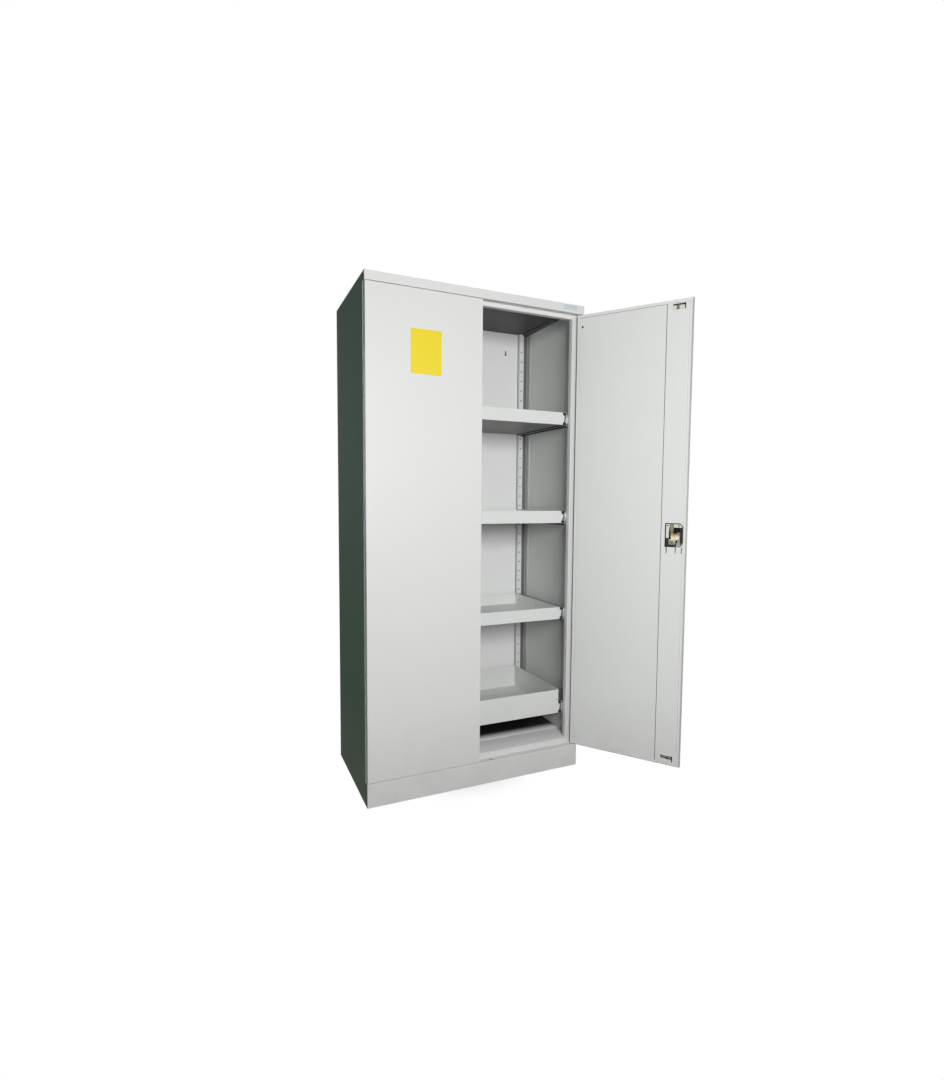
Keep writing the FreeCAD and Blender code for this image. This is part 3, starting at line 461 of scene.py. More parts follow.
# Painted shadow of the lowest tray on the floor
FLOOR_PAINTED_SHADOW = moulded("painted shadow of the lowest tray", tone(16, 16, 17), 0.6,
                     faded=(FLOOR_PAINTED_LIGHT, SHADOW_START, SHADOW_FULL))
GREY_PLASTIC = moulded("pale grey moulded plastic", tone(206, 207, 203), 0.42)
# Painted shade in the joints of the leaves and along the corner under the ceiling
GAP_PAINTED_SHADE = moulded("painted shade in gaps", tone(84, 85, 84), 0.7)
# Painted shade in the recesses of the uprights
RECESS_PAINTED_SHADE = moulded("painted shade in recesses", tone(104, 105, 105), 0.7)
BLACK_SCREW = plated("blackened screw steel", tone(46, 47, 49), 0.35, metallic=0.8)
TEAL_STEEL = plated("blued screw steel", tone(58, 86, 88), 0.3)
KEEPER_ZINC = plated("green passivated zinc", tone(132, 138, 112), 0.45, streak=0.5, cells=0.4,
                     metallic=0.6)
# Pale zinc for the slide ends; it also serves as painted highlight along the slides and on the side
# walls
PALE_ZINC_AND_PAINTED_HIGHLIGHT = plated("pale zinc ends and painted highlights", tone(226, 227, 226), 0.42, metallic=0.35)
# Painted light over the joints where they are lit
JOINT_PAINTED_LIGHT = painted("painted light over joints", tone(205, 207, 205), roughness=0.45)
# The lock case is near black as painted shade, except for its pale cover plate
LOCK_CASE_FINISH = painted("lock case", LOCK_CASE_PAINTED_SHADE, roughness=0.5, gloss=0.12, bands=[cover])
PLATE_YELLOW = painted("bare yellow plate", BARE_YELLOW, roughness=0.5, drift=0.02, dust=0.0,
                       gloss=0.25, scuffs=0.0)
PLATE_PALE = painted("bare pale plate", tone(203, 210, 219), roughness=0.3, dust=0.0)

by_slot = {
    "side_paint": RIGHT_SIDE_PAINT, "front_paint": FRONT_PAINT, "inner_paint": INNER_PAINT,
    "zinc_steel": ZINC, "yellow_zinc": OLIVE_ZINC, "brass": BRASS,
    "black_plastic": BLACK_PLASTIC_AND_PAINTED_SHADE, "grey_plastic": GREY_PLASTIC, "chrome": CHROME,
}
own_finish = {
    "left_side_panel": LEFT_SIDE_PAINT,
    "left_door_skin": LEFT_LEAF_PAINT, "right_door_skin": RIGHT_LEAF_PAINT,
    "lower_lock_rod": DARK_ZINC, "lock_case": LOCK_CASE_FINISH,
    "back_panel": BACK_PAINT, "top_panel": TOP_PAINT, "floor_panel": FLOOR_PAINT,
}
for k, level in enumerate(LEVELS, 1):
    # Painted shade: each tray is darker below a plane just over its floor
    tray_underside_shade = (TRAY_UNDERSIDE_PAINTED_SHADE, [plane((0, 0, level + SHADE_BAND_OFFSET), UP)])
    own_finish[f"tray_{k}"] = painted(f"tray {k} powder coat", INNER_GREY, roughness=0.4,
                                      bands=[tray_underside_shade])
for part in frame["record"]["subparts"]:
    node = nodes[part["node"]]
    finish = own_finish.get(part["node"], by_slot[part["material_slot"]])
    node.data.materials.clear()
    node.data.materials.append(finish)


# Making pieces
def finish_piece(name, mesh, material, body):
    """Links a mesh as a piece of the cabinet, gives it its finish and lets it ride on a body."""
    piece = bpy.data.objects.new(name, mesh)
    bpy.context.scene.collection.objects.link(piece)
    if material:
        mesh.materials.clear()
        mesh.materials.append(material)
    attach(piece, body)
    return piece


def smooth_by_angle(mesh, angle=35):
    """Smooths faces and keeps edges sharp that turn by more than the angle. Caps stay flat."""
    bm = bmesh.new()
    bm.from_mesh(mesh)
    for face in bm.faces:
        face.smooth = len(face.verts) <= 4
    for edge in bm.edges:
        sharp = len(edge.link_faces) != 2 or edge.calc_face_angle(0) > math.radians(angle)
        edge.smooth = not sharp
    bm.to_mesh(mesh)
    bm.free()


def rounded_plate(name, width, height, thickness, corner, edge):
    """A plate with rounded corners and an eased rim. It lies in X and Z, and Y 0 is its back."""
    steps = 6
    bm = bmesh.new()
    ring = []
    for cx, cz, first in ((1, 1, 0), (-1, 1, 90), (-1, -1, 180), (1, -1, 270)):
        for k in range(steps + 1):
            a = math.radians(first + 90 * k / steps)
            ring.append((cx * (width / 2 - corner), cz * (height / 2 - corner), a))
    layers = []
    for inset, depth in ((0, 0), (0, thickness - edge), (edge * 0.3, thickness - edge * 0.3),
                         (edge, thickness)):
        layers.append([bm.verts.new((x + (corner - inset) * math.cos(a), -depth,
                                     z + (corner - inset) * math.sin(a))) for x, z, a in ring])
    for lower, upper in zip(layers, layers[1:]):
        for k in range(len(ring)):
            n = (k + 1) % len(ring)
            bm.faces.new((lower[k], lower[n], upper[n], upper[k]))
    bm.faces.new(layers[0][::-1])
    bm.faces.new(layers[-1])
    bmesh.ops.recalc_face_normals(bm, faces=bm.faces)
    mesh = bpy.data.meshes.new(name)
    bm.to_mesh(mesh)
    bm.free()
    smooth_by_angle(mesh)
    return mesh


def soft_block(name, low, high, radius):
    """A block between two corners with its edges rounded over."""
    bm = bmesh.new()
    bmesh.ops.create_cube(bm, size=1.0)
    size = Vector(high) - Vector(low)
    middle = (Vector(high) + Vector(low)) / 2
    for vert in bm.verts:
        vert.co = Vector((vert.co.x * size.x, vert.co.y * size.y, vert.co.z * size.z)) + middle
    bmesh.ops.bevel(bm, geom=bm.edges[:], offset=radius, segments=2, affect="EDGES", profile=0.5)
    mesh = bpy.data.meshes.new(name)
    bm.to_mesh(mesh)
    bm.free()
    smooth_by_angle(mesh)
    return mesh


def joined(name, meshes):
    """One mesh out of several, keeping their materials."""
    bm = bmesh.new()
    materials = []
    for mesh in meshes:
        slots = []
        for material in mesh.materials:
            if material not in materials:
                materials.append(material)
            slots.append(materials.index(material))
        first = len(bm.faces)
        bm.from_mesh(mesh)
        bm.faces.ensure_lookup_table()
        for face in bm.faces[first:]:
            face.material_index = slots[face.material_index] if slots else 0
    whole = bpy.data.meshes.new(name)
    bm.to_mesh(whole)
    bm.free()
    for material in materials:
        whole.materials.append(material)
    return whole


# Geometry trees

def geometry_tree(name, inputs):
    """A geometry tree with a Geometry input, the named inputs and one Geometry output."""
    tree = bpy.data.node_groups.new(name, "GeometryNodeTree")
    tree.interface.new_socket("Geometry", in_out="INPUT", socket_type="NodeSocketGeometry")
    for label, kind, value in inputs:
        socket = tree.interface.new_socket(label, in_out="INPUT", socket_type=kind)
        if value is not None:
            socket.default_value = value
    tree.interface.new_socket("Geometry", in_out="OUTPUT", socket_type="NodeSocketGeometry")
    return tree, tree.nodes.new("NodeGroupInput"), tree.nodes.new("NodeGroupOutput")


def realize(tree, geometry, material_socket, end):
    """Ends a tree: turns instances into a mesh and gives it the material."""
    whole = add_node(tree, "GeometryNodeRealizeInstances", links={0: geometry})
    dressed = add_node(tree, "GeometryNodeSetMaterial",
                       links={"Geometry": whole.outputs[0], "Material": material_socket})
    tree.links.new(dressed.outputs[0], end.inputs[0])


def make_ball_rows():
    """Rows of steel balls: one row starts at each point of the input mesh."""
    tree, start, end = geometry_tree("ball rows", [
        ("Balls in a row", "NodeSocketInt", 12), ("Pitch", "NodeSocketVector", (0, 0.014, 0)),
        ("Ball radius", "NodeSocketFloat", 0.0022), ("Material", "NodeSocketMaterial", None)])
    row = add_node(tree, "GeometryNodeMeshLine",
                   links={"Count": start.outputs["Balls in a row"],
                          "Offset": start.outputs["Pitch"]}, mode="OFFSET")
    ball = add_node(tree, "GeometryNodeMeshIcoSphere", {"Subdivisions": 2},
                    {"Radius": start.outputs["Ball radius"]})
    smooth = add_node(tree, "GeometryNodeSetShadeSmooth", links={0: ball.outputs[0]})
    balls = add_node(tree, "GeometryNodeInstanceOnPoints",
                     links={"Points": row.outputs[0], "Instance": smooth.outputs[0]})
    rows = add_node(tree, "GeometryNodeInstanceOnPoints",
                    links={"Points": start.outputs["Geometry"], "Instance": balls.outputs[0]})
    realize(tree, rows.outputs[0], start.outputs["Material"], end)
    return tree


def make_screw_heads():
    """Low heads with a socket or a rivet bore, one at each input point, facing the attribute."""
    tree, start, end = geometry_tree("screw heads", [
        ("Head radius", "NodeSocketFloat", 0.004), ("Head height", "NodeSocketFloat", 0.002),
        ("Socket share", "NodeSocketFloat", 0.36), ("Socket sides", "NodeSocketInt", 6),
        ("Sides", "NodeSocketInt", 20), ("Material", "NodeSocketMaterial", None)])
    radius = start.outputs["Head radius"]
    height = start.outputs["Head height"]
    crown = maths(tree, "MULTIPLY", radius, 0.68)
    rim = add_node(tree, "GeometryNodeMeshCone",
                   links={"Vertices": start.outputs["Sides"], "Radius Bottom": radius,
                          "Radius Top": crown, "Depth": height})
    socket_radius = maths(tree, "MULTIPLY", radius, start.outputs["Socket share"])
    drive = add_node(tree, "GeometryNodeMeshCylinder",
                     links={"Vertices": start.outputs["Socket sides"], "Radius": socket_radius,
                            "Depth": maths(tree, "MULTIPLY", height, 2.0)})
    lift = add_node(tree, "ShaderNodeCombineXYZ", links={"Z": maths(tree, "MULTIPLY", height, 1.4)})
    raised = add_node(tree, "GeometryNodeTransform",
                      links={"Geometry": drive.outputs["Mesh"], "Translation": lift.outputs[0]})
    head = add_node(tree, "GeometryNodeMeshBoolean",
                    links={"Mesh 1": rim.outputs["Mesh"], "Mesh 2": raised.outputs[0]},
                    operation="DIFFERENCE")
    facing = add_node(tree, "GeometryNodeInputNamedAttribute", {"Name": "facing"},
                      data_type="FLOAT_VECTOR")
    turn = add_node(tree, "FunctionNodeAlignRotationToVector",
                    links={"Vector": facing.outputs["Attribute"]}, axis="Z")
    heads = add_node(tree, "GeometryNodeInstanceOnPoints",
                     links={"Points": start.outputs["Geometry"], "Instance": head.outputs["Mesh"],
                            "Rotation": turn.outputs[0]})
    realize(tree, heads.outputs[0], start.outputs["Material"], end)
    return tree


BALL_ROWS = make_ball_rows()
SCREW_HEADS = make_screw_heads()


def run_tree(name, tree, points, facings, values):
    """Runs a geometry tree on a cloud of points and gives the plain mesh that comes out."""
    cloud = bpy.data.meshes.new(name + "_points")
    cloud.from_pydata([tuple(p) for p in points], [], [])
    if facings:
        store = cloud.attributes.new("facing", "FLOAT_VECTOR", "POINT")
        for k, facing in enumerate(facings):
            store.data[k].vector = facing
    carrier = bpy.data.objects.new(name + "_carrier", cloud)
    bpy.context.scene.collection.objects.link(carrier)
    modifier = carrier.modifiers.new("tree", "NODES")
    modifier.node_group = tree
    keys = {item.name: item.identifier for item in tree.interface.items_tree
            if item.item_type == "SOCKET" and item.in_out == "INPUT"}
    for label, value in values.items():
        modifier[keys[label]] = value
    bpy.context.view_layer.update()
    graph = bpy.context.evaluated_depsgraph_get()
    mesh = bpy.data.meshes.new_from_object(carrier.evaluated_get(graph))
    bpy.data.objects.remove(carrier)
    mesh.name = name
    return mesh


def fasteners(name, body, places, material, radius, height, share=0.36, sides=6):
    """Screw or rivet heads of one body. places holds (point on the face, way that it faces)."""
    points = [Vector(point) for point, way in places]
    facings = [Vector(way).normalized() for point, way in places]
    mesh = run_tree(name, SCREW_HEADS, points, facings,
                    {"Head radius": radius, "Head height": height, "Socket share": share,
                     "Socket sides": sides, "Sides": 20, "Material": material})
    smooth_by_angle(mesh, 30)
    return finish_piece(name, mesh, None, body)


def at_leaf(s, d, z):
    """A point of the right leaf in the stored pose, from its place in the shut leaf."""
    return LEAF @ Vector((LEAF_EDGE - s, FRONT + d, z))


def blocks(name, corners, material, body, radius=0.0003, matrix=None):
    """One piece out of several soft-edged blocks, each given by two corners."""
    meshes = []
    for low, high in corners:
        meshes.append(soft_block(name, low, high, radius))
    mesh = joined(name, meshes)
    if matrix:
        mesh.transform(matrix)
    return finish_piece(name, mesh, material, body)


def in_leaf(s0, s1, d0, d1, z0, z1):
    """Two corners of a block in the shut right leaf."""
    return (LEAF_EDGE - s1, FRONT + d0, z0), (LEAF_EDGE - s0, FRONT + d1, z1)


# Balls in the cages of the slides
WEBS = ((FITTING_PLANE, -1), (PARTITION_FACE, 1))
CAGES = (("outer", 0.0065, 0.02265), ("inner", 0.0100, 0.01650))
BALLS_IN_ROW = 13
BALL_PITCH = 0.014
BALL_RADIUS = 0.00215
FIRST_BALL = SLIDE_FRONT + SLIDE_LENGTH / 2 - BALL_PITCH * (BALLS_IN_ROW - 1) / 2


def ball_starts(level, depth, rise):
    """First ball of each row. depth runs from the web, rise from the middle of the slide."""
    z = level + SLIDE_MIDDLE
    starts = []
    for face, sign in WEBS:
        for side in (-1, 1):
            starts.append((face + sign * depth, FIRST_BALL, z + side * rise))
    return starts


for k, level in enumerate(LEVELS, 1):
    for kind, depth, rise in CAGES:
        name = f"balls_{kind}_{k}"
        mesh = run_tree(name, BALL_ROWS, ball_starts(level, depth, rise), None,
                        {"Balls in a row": BALLS_IN_ROW, "Pitch": (0, BALL_PITCH, 0),
                         "Ball radius": BALL_RADIUS, "Material": BALL_STEEL})
        finish_piece(name, mesh, None, f"cage_{kind}_{k}")

# Bare plates: name, size, thickness, corner, eased rim, centre, finish and body
PLATES = (
    ("yellow_plate", (0.121, 0.162), 0.0012, 0.004, 0.0005, (-0.2305, FRONT, 1.690),
     PLATE_YELLOW, "left_door"),
    ("header_plate", (0.064, 0.019), 0.0010, 0.002, 0.0004, (0.393, FRONT, 1.9355),
     PLATE_PALE, "cabinet"),
)
for name, size, thickness, corner, rim, centre, finish, body in PLATES:
    mesh = rounded_plate(name, *size, thickness, corner, rim)
    mesh.transform(Matrix.Translation(centre))
    finish_piece(name, mesh, finish, body)

# Joint round the inner sheet of each leaf: painted shadow above and by the channel, painted light
# over it elsewhere
GAP = 0.0015
JOINT = (0.0190, 0.0195)
LINER_EDGE = 0.012
CHANNEL_EDGE = 0.3615


def joint_strips(s_end, free_edge_open):
    """Corners of the painted shadow strips and of the painted light strips, in the shut pose of the
    right leaf.
    """
    z0, z1 = LEAF_BOTTOM + LINER_EDGE, LEAF_TOP - LINER_EDGE
    dark = [in_leaf(LINER_EDGE, s_end, *JOINT, z1 - GAP, z1)]
    painted_light = [in_leaf(LINER_EDGE, s_end, *JOINT, z0, z0 + GAP),
              in_leaf(LINER_EDGE, LINER_EDGE + GAP, *JOINT, z0, z1)]
    side = painted_light if free_edge_open else dark
    side.append(in_leaf(s_end - GAP, s_end, *JOINT, z0, z1))
    return dark, painted_light


MIRROR = Matrix.Scale(-1, 4, (1, 0, 0))
for body, s_end, is_left in (("right_door", CHANNEL_EDGE, False),
                             ("left_door", LEAF_WIDTH - LINER_EDGE, True)):
    matrix = MIRROR if is_left else LEAF
    dark, painted_light = joint_strips(s_end, is_left)
    for name, corners, material in ((f"{body}_joint_dark", dark, GAP_PAINTED_SHADE),
                                    (f"{body}_joint_filled", painted_light, JOINT_PAINTED_LIGHT)):
        piece = blocks(name, corners, material, body, 0.00015, matrix)
        if is_left:
            piece.data.flip_normals()

# Black sheets round the lock case and behind the bolt guides: painted shade inside the leaf
CASE_S = (WINDOW_S[0] + CASE_INSET, WINDOW_S[1] - CASE_INSET)
CASE_Z = (WINDOW_Z[0] + CASE_INSET, WINDOW_Z[1] - CASE_INSET)
PAINTED_SHADE_SHEET = (LEAF_SHEET, LEAF_SHEET + 0.0006)
PAINTED_SHADE_SHEET_S = (0.364, 0.4433)
PAINTED_SHADE_SHEET_Z = (CASE_Z[0] - 0.03, CASE_Z[1] + 0.03)
GUIDE_END = 0.425
GUIDE_PAINTED_SHADE_SHEET_S = (0.375, 0.437)
LOW_GUIDE_Z = (0.1015, 0.1235)
HIGH_GUIDE_Z = (1.870, 1.892)
LOW_PAINTED_SHADE_SHEET_TOP = 0.134
HIGH_PAINTED_SHADE_SHEET_TOP = 1.901
painted_shade_sheets = [in_leaf(PAINTED_SHADE_SHEET_S[0], CASE_S[0], *PAINTED_SHADE_SHEET, *PAINTED_SHADE_SHEET_Z),
        in_leaf(CASE_S[1], PAINTED_SHADE_SHEET_S[1], *PAINTED_SHADE_SHEET, *CASE_Z),
        in_leaf(*CASE_S, *PAINTED_SHADE_SHEET, CASE_Z[1], PAINTED_SHADE_SHEET_Z[1]),
        in_leaf(*CASE_S, *PAINTED_SHADE_SHEET, PAINTED_SHADE_SHEET_Z[0], CASE_Z[0]),
        in_leaf(*GUIDE_PAINTED_SHADE_SHEET_S, *PAINTED_SHADE_SHEET, LOW_GUIDE_Z[1], LOW_PAINTED_SHADE_SHEET_TOP),
        in_leaf(*GUIDE_PAINTED_SHADE_SHEET_S, *PAINTED_SHADE_SHEET, HIGH_GUIDE_Z[1], HIGH_PAINTED_SHADE_SHEET_TOP),
        in_leaf(GUIDE_END, GUIDE_PAINTED_SHADE_SHEET_S[1], *PAINTED_SHADE_SHEET, *LOW_GUIDE_Z),
        in_leaf(GUIDE_END, GUIDE_PAINTED_SHADE_SHEET_S[1], *PAINTED_SHADE_SHEET, *HIGH_GUIDE_Z)]
blocks("lock_painted_shade_sheets", painted_shade_sheets, BLACK_RUBBER_AND_PAINTED_SHADE, "right_door", 0.0001, LEAF)

# Dark strips over the lower bolt guide: painted shadow of the top edge of its slot
GUIDE_SLOT_SHADOW = (0.0185, LEAF_DEPTH - LEAF_SHEET - 0.0004)
slot_shadows = [in_leaf(0.3835, 0.4010, *GUIDE_SLOT_SHADOW, 0.1200, 0.1236),
           in_leaf(0.4025, 0.4295, *GUIDE_SLOT_SHADOW, 0.1190, 0.1236)]
blocks("guide_slot_shadows", slot_shadows, BLACK_RUBBER_AND_PAINTED_SHADE, "right_door", 0.0003, LEAF)

# Black blocks on the lock cover inside the edge of the window, painted shade in the gap round the
# cover, and the green plated keeper
GAP_SHADE = (COVER_DEPTH + 0.0002, COVER_DEPTH + 0.0010)
GAP_SHADE_GAP = 0.0004
GAP_SHADE_RIM = 0.0034
KEEPER = (COVER_DEPTH + 0.0001, COVER_DEPTH + 0.0011)
s0, s1 = WINDOW_S[0] + GAP_SHADE_GAP, WINDOW_S[1] - GAP_SHADE_GAP
z0, z1 = WINDOW_Z[0] + GAP_SHADE_GAP, WINDOW_Z[1] - GAP_SHADE_GAP
gap_shade = [in_leaf(s0, s0 + GAP_SHADE_RIM, *GAP_SHADE, z0, z1),
          in_leaf(s0, s0 + 0.0150, *GAP_SHADE, z0, z0 + 0.0350),
          in_leaf(s0, s0 + 0.0390, *GAP_SHADE, z0, z0 + 0.0088),
          in_leaf(s0 + 0.0200, s1 - 0.0125, *GAP_SHADE, z1 - GAP_SHADE_RIM, z1),
          in_leaf(s1 - 0.0110, s1, *GAP_SHADE, z0 + 0.0155, z1 - 0.0210),
          in_leaf(s1 - 0.0040, s1, *GAP_SHADE, z1 - 0.0210, z1 - 0.0125)]
blocks("lock_gap_shade", gap_shade, BLACK_RUBBER_AND_PAINTED_SHADE, "right_door", 0.0002, LEAF)
blocks("cover_keeper", [in_leaf(0.3922, 0.4155, *KEEPER, 0.9788, 0.9960)], KEEPER_ZINC,
       "right_door", 0.0004, LEAF)

# Screws of the lock cover, pivot rivet of the cam, escutcheon screws and the plug in the liner
COVER_SCREW_Z = 1.0525
cover_screws = [(at_leaf(0.4035, KEEPER[1], 0.9860), INWARD),
                (at_leaf(0.3855, COVER_DEPTH, COVER_SCREW_Z), INWARD),
                (at_leaf(0.4280, COVER_DEPTH, COVER_SCREW_Z), INWARD)]
fasteners("cover_screws", "right_door", cover_screws, TEAL_STEEL, radius=0.0030, height=0.0014)
fasteners("cam_pivot", "handle", [(at_leaf(LOCK_S, 0.0155, LOCK_Z), INWARD)], BRASS,
          radius=0.0055, height=0.0012, share=0.4, sides=16)
ESCUTCHEON = -0.003
plate_screws = [(at_leaf(LOCK_S, ESCUTCHEON, LOCK_Z + 0.024), OUTWARD),
                (at_leaf(LOCK_S, ESCUTCHEON, BARREL_Z - 0.022), OUTWARD)]
fasteners("escutcheon_screws", "right_door", plate_screws, BLACK_SCREW, radius=0.0042,
          height=0.0014)
fasteners("liner_plugs", "right_door", [(at_leaf(0.0235, LEAF_DEPTH, 1.864), INWARD)],
          BLACK_PLASTIC_AND_PAINTED_SHADE, radius=0.0045, height=0.0012, share=0.3, sides=12)


# Slide ends and the strips along the slides
def slide_blocks(level, spans):
    """Blocks at both slides of one tray. Each span is (u0, u1, y0, y1, v0, v1) from the web."""
    corners = []
    z = level + SLIDE_MIDDLE
    for face, sign in WEBS:
        for u0, u1, y0, y1, v0, v1 in spans:
            xa, xb = sorted((face + sign * u0, face + sign * u1))
            corners.append(((xa, y0, z + v0), (xb, y1, z + v1)))
    return corners


def side_strips(faces, across, along, z, rise):
    """One strip at each face. faces holds (x, way), and across runs that way from x."""
    corners = []
    for x, way in faces:
        xa, xb = sorted((x + way * across[0], x + way * across[1]))
        corners.append(((xa, along[0], z + rise[0]), (xb, along[1], z + rise[1])))
    return corners


BEFORE_END = (SLIDE_FRONT - 0.0022, SLIDE_FRONT - 0.0015)
END = (SLIDE_FRONT - 0.0014, SLIDE_FRONT + 0.0002)
BEHIND_END = (SLIDE_FRONT + 0.0004, SLIDE_FRONT + 0.0020)
SLIDE_BACK = SLIDE_FRONT + SLIDE_LENGTH
RIM = [(0.0002, 0.0104, *END, 0.0256, 0.0268), (0.0002, 0.0104, *END, -0.0268, -0.0256),
       (0.0002, 0.0020, *END, -0.0249, 0.0249)]
BUFFERS = [(0.0022, 0.0172, *END, 0.0207, 0.0254), (0.0022, 0.0172, *END, -0.0254, -0.0207),
           (0.0164, 0.0186, *END, 0.0160, 0.0207), (0.0164, 0.0186, *END, -0.0247, -0.0180)]
MIDDLE_PLATE = [(0.0031, 0.0072, *BEHIND_END, -0.0150, 0.0150)]
MIDDLE_CAPS = [(0.0031, 0.0158, *BEHIND_END, 0.0152, 0.0203),
               (0.0031, 0.0158, *BEHIND_END, -0.0203, -0.0152)]
INNER_PLATE = [(0.0112, 0.0188, *END, -0.0140, 0.0140)]
INNER_CAPS = [(0.0074, 0.0110, *END, -0.0050, 0.0138),
              (0.0100, 0.0136, *BEFORE_END, -0.0138, -0.0030)]
SLIDE_ENDS = (
    ("slide_rim", RIM, PALE_ZINC_AND_PAINTED_HIGHLIGHT, "cabinet"),
    ("slide_buffer", BUFFERS, BLACK_RUBBER_AND_PAINTED_SHADE, "cabinet"),
    ("middle_plate", MIDDLE_PLATE, ZINC, "slide_middle_{}"),
    ("middle_caps", MIDDLE_CAPS, BLACK_PLASTIC_AND_PAINTED_SHADE, "slide_middle_{}"),
    ("inner_plate", INNER_PLATE, PALE_ZINC_AND_PAINTED_HIGHLIGHT, "tray_{}"),
    ("inner_caps", INNER_CAPS, BLACK_PLASTIC_AND_PAINTED_SHADE, "tray_{}"),
)
TRAY_SIDES = ((TRAY_RIGHT, 1), (TRAY_LEFT, -1))
LONG = (SLIDE_FRONT + 0.002, SLIDE_BACK - 0.002)
# Strips along the slides: the two dark ones are painted shade in the gaps under each slide, the
# pale one a painted highlight on the lower edge of its outer member
SLIDE_STRIPS = (
    ("tray_felt", TRAY_SIDES, (-0.0030, 0.0012), (SLIDE_FRONT + 0.004, SLIDE_BACK),
     (-0.0034, -0.0002), BLACK_RUBBER_AND_PAINTED_SHADE, "tray_{}", 0.0003),
    ("slide_gap_shade", WEBS, (0.0004, 0.0044), LONG,
     (-0.0090, -0.0028), BLACK_RUBBER_AND_PAINTED_SHADE, "cabinet", 0.0003),
    ("slide_edge_highlight", WEBS, (0.0020, 0.0100), LONG,
     (-0.0026, -0.0018), PALE_ZINC_AND_PAINTED_HIGHLIGHT, "cabinet", 0.0002),
)
SCREW_INSET = 0.035
TRAY_SCREW_Y = (SLIDE_FRONT + SCREW_INSET, SLIDE_FRONT + SLIDE_LENGTH / 2, SLIDE_BACK - SCREW_INSET)
for k, level in enumerate(LEVELS, 1):
    for name, spans, material, body in SLIDE_ENDS:
        blocks(f"{name}_{k}", slide_blocks(level, spans), material, body.format(k))
    for name, faces, across, along, rise, material, body, radius in SLIDE_STRIPS:
        strips = side_strips(faces, across, along, level, rise)
        blocks(f"{name}_{k}", strips, material, body.format(k), radius)
    screws = []
    for y in TRAY_SCREW_Y:
        for x, way in TRAY_SIDES:
            screws.append(((x - way * TRAY_SHEET, y, level + SLIDE_MIDDLE), (-way, 0, 0)))
    fasteners(f"tray_screws_{k}", f"tray_{k}", screws, BALL_STEEL, radius=0.0042, height=0.0016)

# Rivets on the outside of the back sheet, over the feet of the uprights and of the partition
RIVET_COLUMNS = (-0.442, -0.007, 0.442)
RIVET_HEIGHTS = [0.22 + 0.26 * k for k in range(7)]
rivets = [((x, BACK_OUTER, z), (0, 1, 0)) for x in RIVET_COLUMNS for z in RIVET_HEIGHTS]
fasteners("back_rivets", "cabinet", rivets, BALL_STEEL, radius=0.0045, height=0.0013, share=0.22,
          sides=10)

# Uprights: dark sheets behind the slots and in the recesses beside them, as painted shade,
# a pale strip on the side wall behind, as a painted highlight, and a dark strip along the
# corner under the ceiling, as painted shade
UPRIGHT_HEIGHTS = (FLOOR_TOP + 0.002, CEILING - 0.002)
BEHIND_SLOTS = POST_FRONT + POST_SHEET
RECESS = BACK_INNER - POST_SHEET
x0, x1 = POST_X
recess_shade = [((x0 + 0.002, BEHIND_SLOTS + 0.0005, UPRIGHT_HEIGHTS[0]),
           (x1 - 0.002, BEHIND_SLOTS + 0.0012, UPRIGHT_HEIGHTS[1])),
          ((x1 + 0.0100, RECESS - 0.0010, UPRIGHT_HEIGHTS[0]),
           (WALL - 0.0010, RECESS - 0.0003, UPRIGHT_HEIGHTS[1])),
          ((x0 - 0.0022, BACK_INNER - 0.0012, UPRIGHT_HEIGHTS[0]),
           (x0 - 0.0002, BACK_INNER - 0.0002, UPRIGHT_HEIGHTS[1]))]
strip = [((WALL - 0.0012, 0.188, UPRIGHT_HEIGHTS[0]), (WALL - 0.0002, 0.211, UPRIGHT_HEIGHTS[1]))]
joint = [((JAMB_INNER + 0.004, STOP_PLANE + 0.024, CEILING - 0.0030),
          (WALL - 0.0004, BACK_INNER - 0.0010, CEILING - 0.0006))]
for name, side in (("right", 1), ("left", -1)):
    matrix = Matrix.Scale(side, 4, (1, 0, 0))
    blocks(f"{name}_post_recess_shade", recess_shade, RECESS_PAINTED_SHADE, "cabinet", 0.0001, matrix)
    blocks(f"{name}_wall_highlight", strip, PALE_ZINC_AND_PAINTED_HIGHLIGHT, "cabinet", 0.0003, matrix)
    blocks(f"{name}_ceiling_corner_shade", joint, GAP_PAINTED_SHADE, "cabinet", 0.0003, matrix)

# Black sheet on the floor under the lowest tray: the painted shadow of the tray, fading out to the
# floor colour at its front edge
blocks("lowest_tray_shadow", [((0.006, SHADOW_START, FLOOR_TOP + 0.0001),
                     (WALL - 0.0006, POST_FRONT - 0.004, FLOOR_TOP + 0.0006))],
       FLOOR_PAINTED_SHADOW, "cabinet", 0.0002)

# Dark plates over the keyholes, on the outside of the back sheet: painted shade that keeps the
# keyholes dark
SHADE_PLATE_HALF = 0.012
SHADE_PLATE_Z = (1.836, 1.872)
caps = [((x - SHADE_PLATE_HALF, BACK_OUTER + 0.0003, SHADE_PLATE_Z[0]),
         (x + SHADE_PLATE_HALF, BACK_OUTER + 0.0020, SHADE_PLATE_Z[1])) for x in (-KEYHOLE_X, KEYHOLE_X)]
blocks("keyhole_shade_plates", caps, BLACK_PLASTIC_AND_PAINTED_SHADE, "cabinet", 0.0006)


# Light, floor and camera
def seen_share(tree, glossy=1.0):
    """1 for what the camera sees directly or through a piece, and a share of it for reflections."""
    path = tree.nodes.new("ShaderNodeLightPath")
    straight = maths(tree, "MAXIMUM", path.outputs["Is Camera Ray"],
                     path.outputs["Is Transmission Ray"])
    mirrored = maths(tree, "MULTIPLY", path.outputs["Is Glossy Ray"], glossy)
    return maths(tree, "MAXIMUM", straight, mirrored)


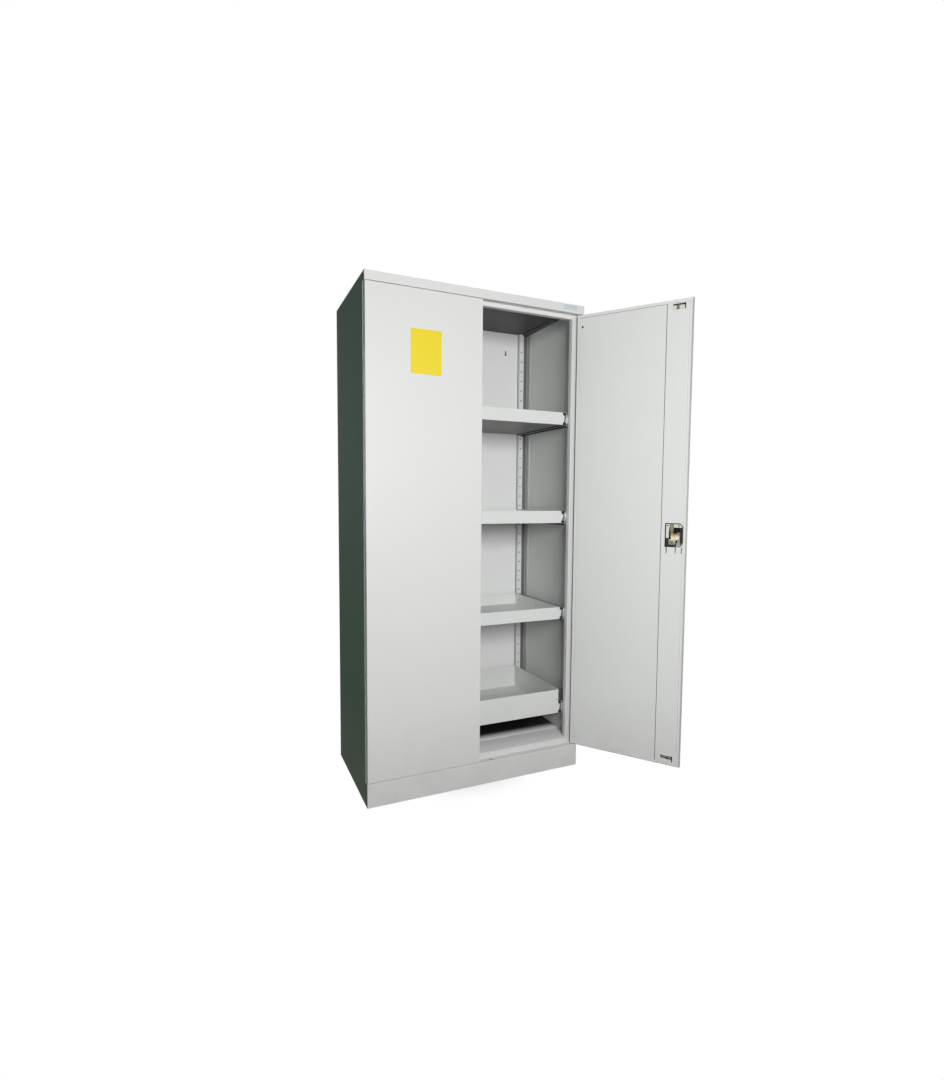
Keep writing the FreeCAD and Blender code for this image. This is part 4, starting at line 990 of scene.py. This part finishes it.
AMBIENT = 0.11
MIRRORED_SHARE = 0.7
world = bpy.data.worlds.new("studio")
bpy.context.scene.world = world
world.use_nodes = True
sky = world.node_tree.nodes["Background"]
sky.inputs["Color"].default_value = (1, 1, 1, 1)
seen = seen_share(world.node_tree, MIRRORED_SHARE)
strength = maths(world.node_tree, "ADD", maths(world.node_tree, "MULTIPLY", seen, 1 - AMBIENT),
                 AMBIENT)
world.node_tree.links.new(strength, sky.inputs["Strength"])

# The floor is plain and pale. Near the cabinet it takes its shade, and further out it is white.
FLOOR_HALF = 12
FLOOR_MIDDLE = (0.0, 0.04, 0)
FLOOR_FADE = (0.12, 0.42)
floor_mesh = bpy.data.meshes.new("studio_floor")
bm = bmesh.new()
bmesh.ops.create_grid(bm, x_segments=8, y_segments=8, size=FLOOR_HALF)
bm.to_mesh(floor_mesh)
bm.free()
floor = bpy.data.objects.new("studio_floor", floor_mesh)
bpy.context.scene.collection.objects.link(floor)
material, tree, surface, place = blank_material("pale floor")
tint = mix_colour(tree, seen_share(tree), tone(80, 80, 80), tone(240, 240, 240))
tree.links.new(tint, surface.inputs["Base Color"])
surface.inputs["Roughness"].default_value = 0.9
shift = add_node(tree, "ShaderNodeVectorMath", {1: FLOOR_MIDDLE}, {0: place},
                 operation="SUBTRACT")
far = add_node(tree, "ShaderNodeVectorMath", links={0: shift.outputs[0]}, operation="LENGTH")
fade = add_node(tree, "ShaderNodeMapRange", {"From Min": FLOOR_FADE[0], "From Max": FLOOR_FADE[1]},
                {"Value": far.outputs["Value"]}, interpolation_type="SMOOTHSTEP")
glow = add_node(tree, "ShaderNodeEmission", {"Color": (1, 1, 1, 1), "Strength": 1.0})
mix = add_node(tree, "ShaderNodeMixShader",
               links={0: maths(tree, "MULTIPLY", fade.outputs[0], seen_share(tree)),
                      1: surface.outputs[0], 2: glow.outputs[0]})
tree.links.new(mix.outputs[0], tree.nodes["Material Output"].inputs["Surface"])
floor_mesh.materials.append(material)

# Each softbox: name, place, the point it faces, the width of its square and its power in watts
SOFTBOXES = (
    ("front softbox", (-0.45, -3.0, 1.60), (0.1, 0, 1.0), 0.9, 68.5),
    ("overhead softbox", (0.2, -1.6, 4.4), (0.1, -0.2, 1.0), 2.4, 4),
    ("top softbox", (0, 0.7, 4.3), (0, 0.1, 1.95), 2.0, 32),
    ("left softbox", (-3.2, -0.4, 1.2), (-0.46, 0, 1.0), 2.0, 17),
    ("right softbox", (3.2, -0.4, 1.2), (0.46, 0, 1.0), 2.0, 17),
    ("left rear softbox", (-0.8, 3.2, 1.7), (-0.1, 0.25, 1.0), 1.6, 32),
    ("right rear softbox", (1.6, 3.2, 2.1), (0.1, 0.25, 1.0), 1.6, 34),
)
for name, place, target, width, power in SOFTBOXES:
    data = bpy.data.lights.new(name, "AREA")
    data.shape = "SQUARE"
    data.size = width
    data.energy = power
    lamp = bpy.data.objects.new(name, data)
    lamp.location = place
    lamp.rotation_mode = "QUATERNION"
    lamp.rotation_quaternion = (Vector(target) - Vector(place)).to_track_quat("-Z", "Y")
    bpy.context.scene.collection.objects.link(lamp)

YAW = 0.4193
PITCH = -0.0683
ROLL = 0.0062
CAMERA_PLACE = (-0.950638, -2.289307, 1.145621)
FOCAL_PIXELS = 574.907
PICTURE_HEIGHT = 1080
SENSOR_WIDTH = 36.0
forward = Vector((math.sin(YAW) * math.cos(PITCH), math.cos(YAW) * math.cos(PITCH),
                  math.sin(PITCH)))
level_right = Vector((math.cos(YAW), -math.sin(YAW), 0))
level_up = level_right.cross(forward)
right = math.cos(ROLL) * level_right + math.sin(ROLL) * level_up
up = math.cos(ROLL) * level_up - math.sin(ROLL) * level_right
camera_data = bpy.data.cameras.new("camera")
camera_data.sensor_width = SENSOR_WIDTH
camera_data.lens = FOCAL_PIXELS / PICTURE_HEIGHT * SENSOR_WIDTH
camera = bpy.data.objects.new("camera", camera_data)
turn = Matrix((right, up, -forward)).transposed().to_4x4()
camera.matrix_world = Matrix.Translation(CAMERA_PLACE) @ turn
bpy.context.scene.collection.objects.link(camera)
bpy.context.scene.camera = camera
bpy.context.scene.view_settings.view_transform = "Standard"
